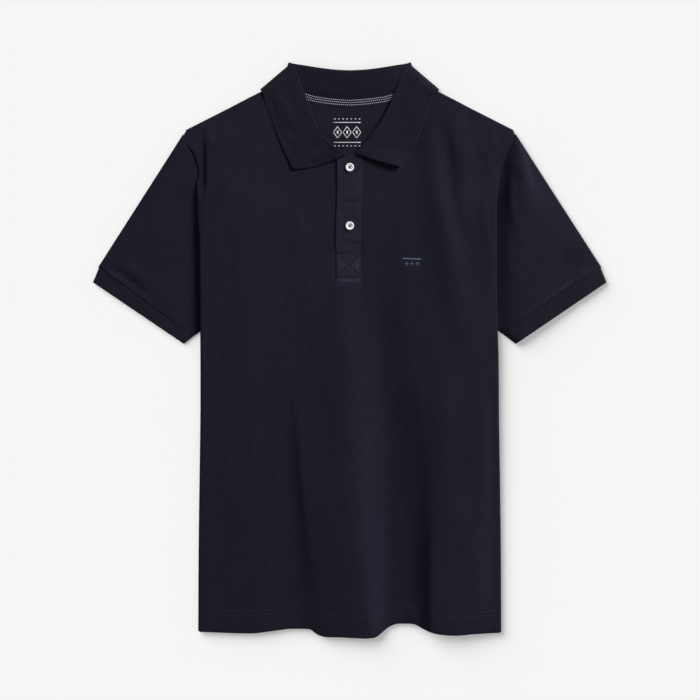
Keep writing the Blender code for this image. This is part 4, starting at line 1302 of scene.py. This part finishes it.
def thread(name, colour):
    """Spun polyester sewing thread: a little smoother than the cloth, uneven where its fibres lie."""
    made, tree = new_material(name)
    cloth = add(tree, "UVMap", uv_map="cloth").outputs["UV"]
    fibres = add(tree, "TexNoise", {"Vector": cloth, "Scale": swings(FIBRE_PLACE), "Detail": 2})
    shade = add(tree, "ValToRGB", {"Fac": fibres.outputs["Fac"]})
    shade.color_ramp.elements[0].color = toned(colour, 0.8)
    shade.color_ramp.elements[1].color = toned(colour, 1.2)
    relief = add(tree, "Bump", {"Height": fibres.outputs["Fac"], "Strength": 0.3, "Distance": 0.0001})
    surface = {
        "Base Color": shade.outputs["Color"],
        "Roughness": 0.6,
        "Specular IOR Level": 0.25,
        "Sheen Weight": 0.1,
        "Normal": relief.outputs["Normal"],
    }
    shader = add(tree, "BsdfPrincipled", surface)
    add(tree, "OutputMaterial", {"Surface": shader.outputs["BSDF"]})
    return made


def button_resin():
    """Polyester button resin, cast and tumble polished: cloudy white with a soft gloss."""
    made, tree = new_material("button_resin")
    place = add(tree, "TexCoord").outputs["Object"]
    cloud = add(tree, "TexNoise", {"Vector": place, "Scale": swings(CLOUD_PLACE), "Detail": 2})
    colour = add(tree, "ValToRGB", {"Fac": cloud.outputs["Fac"]})
    colour.color_ramp.elements[0].color = linear("#dcdcdc")
    colour.color_ramp.elements[1].color = linear("#ececec")
    surface = {"Base Color": colour.outputs["Color"], "Roughness": 0.28, "Coat Weight": 0.2, "IOR": 1.55}
    shader = add(tree, "BsdfPrincipled", surface)
    add(tree, "OutputMaterial", {"Surface": shader.outputs["BSDF"]})
    return made


def print_ink(name, colour):
    """Screen-printed ink: matte, thin, with the knit's unevenness showing through."""
    made, tree = new_material(name)
    place = add(tree, "TexCoord").outputs["Object"]
    wear = add(tree, "TexNoise", {"Vector": place, "Scale": swings(INK_PLACE), "Detail": 2})
    shade = add(tree, "ValToRGB", {"Fac": wear.outputs["Fac"]})
    thin, full = shade.color_ramp.elements
    thin.position, thin.color = 0.3, toned(colour, 0.6)
    full.position, full.color = 0.6, linear(colour)
    shader = add(tree, "BsdfPrincipled", {"Base Color": shade.outputs["Color"], "Roughness": 0.7})
    add(tree, "OutputMaterial", {"Surface": shader.outputs["BSDF"]})
    return made


def floor_paint():
    """Matte pale studio paper, hardly rough enough to show."""
    made, tree = new_material("studio_paper")
    place = add(tree, "TexCoord").outputs["Object"]
    fibre = add(tree, "TexNoise", {"Vector": place, "Scale": swings(PAPER_PLACE), "Detail": 1})
    relief = add(tree, "Bump", {"Height": fibre.outputs["Fac"], "Strength": 0.02, "Distance": 0.0001})
    surface = {
        "Base Color": (0.8, 0.8, 0.8, 1),
        "Roughness": 1,
        "Specular IOR Level": 0,
        "Normal": relief.outputs["Normal"],
    }
    shader = add(tree, "BsdfPrincipled", surface)
    add(tree, "OutputMaterial", {"Surface": shader.outputs["BSDF"]})
    return made


PIQUE = knit("pique_cotton", "#0c0c14", "#1b1b29", pique_stitch, 0.9, fine=1.75, broad=0.3, bump=0.35)
RIB = knit("rib_cotton_collar", "#0c0c13", "#191924", collar_stitch, 0.92, fine=1.9, broad=0.45, bump=0.2)
CUFF_RIB = knit("rib_cotton_cuff", "#0c0c13", "#1b1b26", rib_stitch, 0.92, fine=1.9, broad=0.4, bump=0.3)
# Pique over a fused lining, which makes it firmer and flatter; it is coloured a little paler than the body's
# pique
PLACKET_PIQUE = knit(
    "lined_pique_cotton", "#10101a", "#20202e", pique_stitch, 0.88,
    fine=1.75, broad=0.5, bump=0.3, sheen=0.12,
)
# The tape is woven, but its cotton yarn shades as the knits' does: smoother than they are, with fine lines
TWILL = knit("tape_twill", "#14141d", "#1f1f2a", twill_stitch, 0.85, fine=0.8, broad=0.2, bump=0.3)
NAVY_THREAD = thread("navy_thread", "#191922")
DARK_THREAD = thread("dark_navy_thread", "#07070b")
PALE_THREAD = thread("pale_tape_thread", "#b4b4c6")
GREY_THREAD = thread("grey_embroidery_thread", "#40404c")
BLUE_THREAD = thread("blue_embroidery_thread", "#565c76")
BUTTON_RESIN = button_resin()
INK = print_ink("white_print_ink", "#dfdfe2")


# ---- build ----


def on_front(x, y):
    return xyz(x, y, front_level(x, y) + PIQUE_WALL / 2)


HEM_SEAM_HALF = 191
HEM_SEAM_ROWS = (23, 28)


def hem_stitches():
    """Twin-needle stitching round the hem of the front."""
    parts = []
    x = np.linspace(-HEM_SEAM_HALF, HEM_SEAM_HALF, 384)
    for up in HEM_SEAM_ROWS:
        y = HEM_Y + up + hem_wave(x, HEM_Y + up)
        parts.append(seam_stitches(on_front(x, y), pitch=3.1, length=2.5, radius=0.28, arch=0.1))
    return parts


def on_placket(x, y):
    top = placket_level(x, y) + placket_thickness(x, y) / 2 + 0.05
    return xyz(x + placket_lean(y), y, top)


def placket_stitches():
    """The edge's fine stitches, and the box with its cross in a heavier thread."""
    left, right = PLACKET_LEFT + 1.6, PLACKET_RIGHT - 1.6
    runs = (
        ((right, BOX_BOTTOM), (right, PLACKET_TOP - 2)),
        ((left, BOX_BOTTOM), (left, BOX_TOP)),
        ((left, BOX_BOTTOM), (right, BOX_BOTTOM)),
        ((left, BOX_TOP), (right, BOX_TOP)),
        ((left, BOX_BOTTOM), (right, BOX_TOP)),
        ((left, BOX_TOP), (right, BOX_BOTTOM)),
    )
    parts = []
    for start, end in runs:
        plan = line(start, end, int(math.dist(start, end)) + 2)
        path = on_placket(plan[:, 0], plan[:, 1])
        parts.append(seam_stitches(path, pitch=2.6, length=2.3, radius=0.42 if parts else 0.25, arch=0.05))
    return parts


def buttonhole_stitches():
    parts = []
    for y0 in BUTTON_YS:
        y = np.arange(y0 - 7.5, y0 + 7.6, 0.55)
        for side in (-1, 1):
            starts = on_placket(side * 0.35 - placket_lean(y), y)
            ends = on_placket(side * 1.35 - placket_lean(y), y)
            parts.append(strands(starts, ends, 0.26, 0.2))
    return parts


def build_button(index, y):
    """A four-hole button turned from its profile, with its thread crossed through the holes."""
    low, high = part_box(f"button_{index}")
    centre_x = (low.x + high.x) / 2 / MILLIMETRE
    around = np.radians(np.arange(0, 360, 30))
    under = placket_level(centre_x + 5 * np.cos(around), y + 5 * np.sin(around))
    base = float(under.max()) + PLACKET_WALL / 2 + 0.1
    turn = 2 * math.pi * np.arange(BUTTON_SIDES) / BUTTON_SIDES
    radius, height = (BUTTON_PROFILE[column][:, None] for column in ("radius", "height"))
    vertices = xyz(centre_x + radius * np.cos(turn), y + radius * np.sin(turn), base + height).reshape(-1, 3)
    rings = np.arange(len(vertices)).reshape(-1, BUTTON_SIDES)
    faces = grid_corners(np.hstack([rings, rings[:, :1]])).reshape(-1, 4).tolist()
    faces += [rings[0, ::-1].tolist(), rings[-1].tolist()]
    mesh = bpy.data.meshes.new(f"disc_{index}")
    mesh.from_pydata((vertices * MILLIMETRE).tolist(), [], faces)
    disc = placed(f"sewn_button_{index}", mesh)
    cutters = []
    holes = []
    for k in range(4):
        angle = 2 * math.pi * (k + 0.5) / 4
        x0, y0 = centre_x + HOLE_REACH * math.cos(angle), y + HOLE_REACH * math.sin(angle)
        holes.append((x0, y0))
        bpy.ops.mesh.primitive_cylinder_add(
            vertices=24,
            radius=HOLE_RADIUS * MILLIMETRE,
            depth=HOLE_CUT * MILLIMETRE,
            location=[x0 * MILLIMETRE, y0 * MILLIMETRE, base * MILLIMETRE],
        )
        cutter = bpy.context.active_object
        cut = disc.modifiers.new(f"hole_{k}", "BOOLEAN")
        cut.object = cutter
        cut.operation = "DIFFERENCE"
        cutters.append(cutter)
    bpy.context.view_layer.update()
    pierced = disc.evaluated_get(bpy.context.evaluated_depsgraph_get())
    finished_mesh = bpy.data.meshes.new_from_object(pierced)
    disc.modifiers.clear()
    disc.data = finished_mesh
    for cutter in cutters:
        bpy.data.objects.remove(cutter, do_unlink=True)
    finished_mesh.shade_smooth()
    finished_mesh.set_sharp_from_angle(angle=math.radians(BUTTON_SHARP))
    finished_mesh.materials.clear()
    finished_mesh.materials.append(BUTTON_RESIN)
    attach(disc, "root")
    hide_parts(f"button_{index}")
    top = base + BUTTON_WEB
    starts, ends = [], []
    for first, last in ((0, 2), (1, 3)):
        for shift in (-THREAD_SPREAD, THREAD_SPREAD):
            (xa, ya), (xb, yb) = holes[first], holes[last]
            aside = unit(np.array((yb - ya, xa - xb))) * shift
            lift = 0.12 * first
            starts.append((xa + aside[0], ya + aside[1], top - 0.25 + lift))
            ends.append((xb + aside[0], yb + aside[1], top - 0.25 + lift))
    loops = strands(starts, ends, 0.36, 0.3, sides=8, rings=9)
    stems = strands(
        [(x0, y0, base + 0.2) for x0, y0 in holes],
        [(x0 + 0.01, y0, top - 0.1) for x0, y0 in holes],
        0.45,
        0,
        up=(0, 1, 0),
    )
    piece(f"button_thread_{index}", [loops, stems], DARK_THREAD)


def raised_strip(points, width, thickness, level):
    """A thin flat line of ink along a plan path."""
    along = unit(np.gradient(points, axis=0))
    aside = np.stack([-along[:, 1], along[:, 0]], axis=-1) * width / 2
    rows = [with_level(points + aside, level), with_level(points - aside, level)]
    return wall(np.array(rows).transpose(1, 0, 2)[::-1], thickness)


def diamond(centre, half_width, half_height):
    x, y = centre
    corners = ((x - half_width, y), (x, y + half_height), (x + half_width, y), (x, y - half_height))
    return [(corners[k], corners[(k + 1) % 4]) for k in range(4)]


PRINT_MIDDLE = (-3.5, 285.5)
DIAMOND_SHIFTS = (-12.5, 0, 12.5)
INK_WALL = 0.1


def neck_print():
    """A plain pattern of diamonds, bars and dots inside the back, in place of any label."""

    def level(x, y):
        return back_level(x, y) + PIQUE_WALL / 2 + 0.05

    middle = np.array(PRINT_MIDDLE)
    runs = []
    for shift in DIAMOND_SHIFTS:
        runs += diamond((shift, 0), 5.4, 7.6)
    for y in (13, -13):
        runs.append(((-18, y), (18, y)))
    for y in (17.6, -17.6):
        for x in np.arange(-3, 4) * 5.4:
            runs.append(((x - 1.1, y), (x + 1.1, y)))
    parts = []
    for start, end in runs:
        path = line(middle + np.array(start), middle + np.array(end), 5)
        parts.append(raised_strip(path, 0.85, INK_WALL, level))
    for shift in DIAMOND_SHIFTS:
        start = middle + np.array((shift, -2.2))
        parts.append(raised_strip(line(start, start + np.array((0, 4.4)), 4), 2.2, INK_WALL, level))
    return parts


BAR_LEFT = 69.5
BAR_RIGHT = 93.5
BAR_Y = 119.6
BAR_HALF = 0.95
DIAMOND_Y = 112.6
SATIN_ARCH = 0.3


def chest_mark():
    """A plain bar and three small diamonds under it, in satin stitches laid side by side."""
    x = np.arange(BAR_LEFT, BAR_RIGHT, 0.5)
    y = BAR_Y - (x - BAR_LEFT) * 0.04
    bars = [strands(on_front(x, y - BAR_HALF), on_front(x, y + BAR_HALF), 0.3, SATIN_ARCH)]
    lozenges = []
    for centre in (74.5, 81.5, 88.5):
        x = np.arange(centre - 2.6, centre + 2.61, 0.45)
        half = (2.75 - np.abs(x - centre)) * 1.15
        low, high = on_front(x, DIAMOND_Y - half), on_front(x, DIAMOND_Y + half)
        lozenges.append(strands(low, high, 0.28, SATIN_ARCH))
    return bars, lozenges


front_piece = piece("front_panel", [front()], PIQUE, ["front"], painted_light=FRONT_PAINTED_LIGHT)
back_piece = piece("back_panel", [back()], PIQUE, ["back"])
for side, word in ((-1, "left"), (1, "right")):
    piece(
        f"set_in_sleeve_{word}",
        [sleeve(side)],
        PIQUE,
        [f"sleeve_{word}"],
        painted_light=SLEEVE_PAINTED_LIGHT[side],
    )
    piece(f"rib_cuff_{word}", [cuff(side)], CUFF_RIB, [f"cuff_{word}"])
collar_piece = piece("rib_collar", [collar()], RIB, ["collar"])
BAND_ACROSS = (PLACKET_LEFT, PLACKET_RIGHT)
BAND_UP = (PLACKET_BOTTOM, PLACKET_TOP)
UNDER_BAND_ACROSS = (-17.5, 17.5)
UNDER_BAND_UP = (98.8, 251)
upper_band = piece(
    "placket_upper_band",
    [band(BAND_ACROSS, BAND_UP, 60, 280, placket_level, placket_thickness)],
    PLACKET_PIQUE,
    ["placket_top"],
    painted_light=PLACKET_PAINTED_LIGHT,
)
under_band = piece(
    "placket_under_band",
    [band(UNDER_BAND_ACROSS, UNDER_BAND_UP, 15, 60, placket_under_level, PIQUE_WALL)],
    PLACKET_PIQUE,
    ["placket_under"],
)
tape_piece = piece("herringbone_tape", [neck_tape()], TWILL, ["neck_tape"])
dashes = piece("tape_dashes", tape_dashes(), PALE_THREAD)
hem_thread = piece("hem_stitching", hem_stitches(), NAVY_THREAD)
placket_runs = placket_stitches()
edge_thread = piece("placket_edge_stitching", placket_runs[:1], NAVY_THREAD)
placket_thread = piece("placket_box_stitching", placket_runs[1:], DARK_THREAD)
buttonhole_thread = piece("buttonhole_stitching", buttonhole_stitches(), DARK_THREAD)
for index, y in enumerate(BUTTON_YS):
    build_button(index + 1, y)
print_piece = piece("neck_pattern", neck_print(), INK)
bar_parts, lozenge_parts = chest_mark()
mark_bar = piece("chest_bar", bar_parts, BLUE_THREAD)
mark_lozenges = piece("chest_diamonds", lozenge_parts, GREY_THREAD)

# ---- studio ----


FLOOR_REACH = 4
FLOOR_DROP = 0.0002
FILL_LIGHT = 0.30
BACKDROP_LIGHT = 0.92
CAMERA_PLACE = (0.00033, 0, 2.206)
SENSOR_WIDTH = 36
VIEW_WIDTH = 0.917
VIEW_DISTANCE = 2.2


def lit_by(name, kind, lit, toward, height, away, strength):
    """A light. toward is its compass side in degrees from +X to +Y, height how many degrees up it stands,
    and lit are the objects that it reaches."""
    data = bpy.data.lights.new(name, kind)
    data.energy = strength
    made = placed(name, data)
    side, up = math.radians(toward), math.radians(height)
    place = Vector((math.cos(side) * math.cos(up), math.sin(side) * math.cos(up), math.sin(up)))
    made.location = place * away
    made.rotation_euler = place.to_track_quat("Z", "Y").to_euler()
    reached = bpy.data.collections.new(name + "_reaches")
    for item in lit:
        reached.objects.link(item)
    made.light_linking.receiver_collection = reached
    return data


def studio():
    """Pale paper, a soft light from the upper right on the shirt, and the paper's own two lights."""
    scene = bpy.context.scene
    mesh = bpy.data.meshes.new("floor")
    signs = ((-1, -1), (1, -1), (1, 1), (-1, 1))
    mesh.from_pydata([(x * FLOOR_REACH, y * FLOOR_REACH, -FLOOR_DROP) for x, y in signs], [], [(0, 1, 2, 3)])
    mesh.materials.append(floor_paint())
    floor = placed("floor", mesh)
    floor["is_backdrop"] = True
    key = lit_by("key_light", "AREA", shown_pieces(), toward=46, height=26.5, away=7, strength=764)
    key.shape = "DISK"
    key.size = 2.5
    side = lit_by("floor_side_light", "SUN", [floor], toward=136, height=30, away=3, strength=3.3)
    side.angle = math.radians(50)
    top = lit_by("floor_top_light", "SUN", [floor], toward=90, height=89, away=3, strength=1.03)
    top.angle = math.radians(10)
    world = bpy.data.worlds.new("studio_air")
    world.use_nodes = True
    tree = world.node_tree
    tree.nodes.clear()
    seen = add(tree, "LightPath").outputs["Is Camera Ray"]
    white = (1, 1, 1, 1)
    low = add(tree, "Background", {"Color": white, "Strength": FILL_LIGHT})
    bright = add(tree, "Background", {"Color": white, "Strength": BACKDROP_LIGHT})
    both = add(tree, "MixShader", {0: seen, 1: low.outputs[0], 2: bright.outputs[0]})
    add(tree, "OutputWorld", {"Surface": both.outputs[0]})
    scene.world = world
    scene.view_settings.view_transform = "Standard"
    scene.view_settings.look = "None"
    camera_data = bpy.data.cameras.new("camera")
    camera_data.sensor_width = SENSOR_WIDTH
    camera_data.lens = SENSOR_WIDTH * VIEW_DISTANCE / VIEW_WIDTH
    camera = placed("camera", camera_data)
    camera.location = CAMERA_PLACE
    scene.camera = camera


studio()
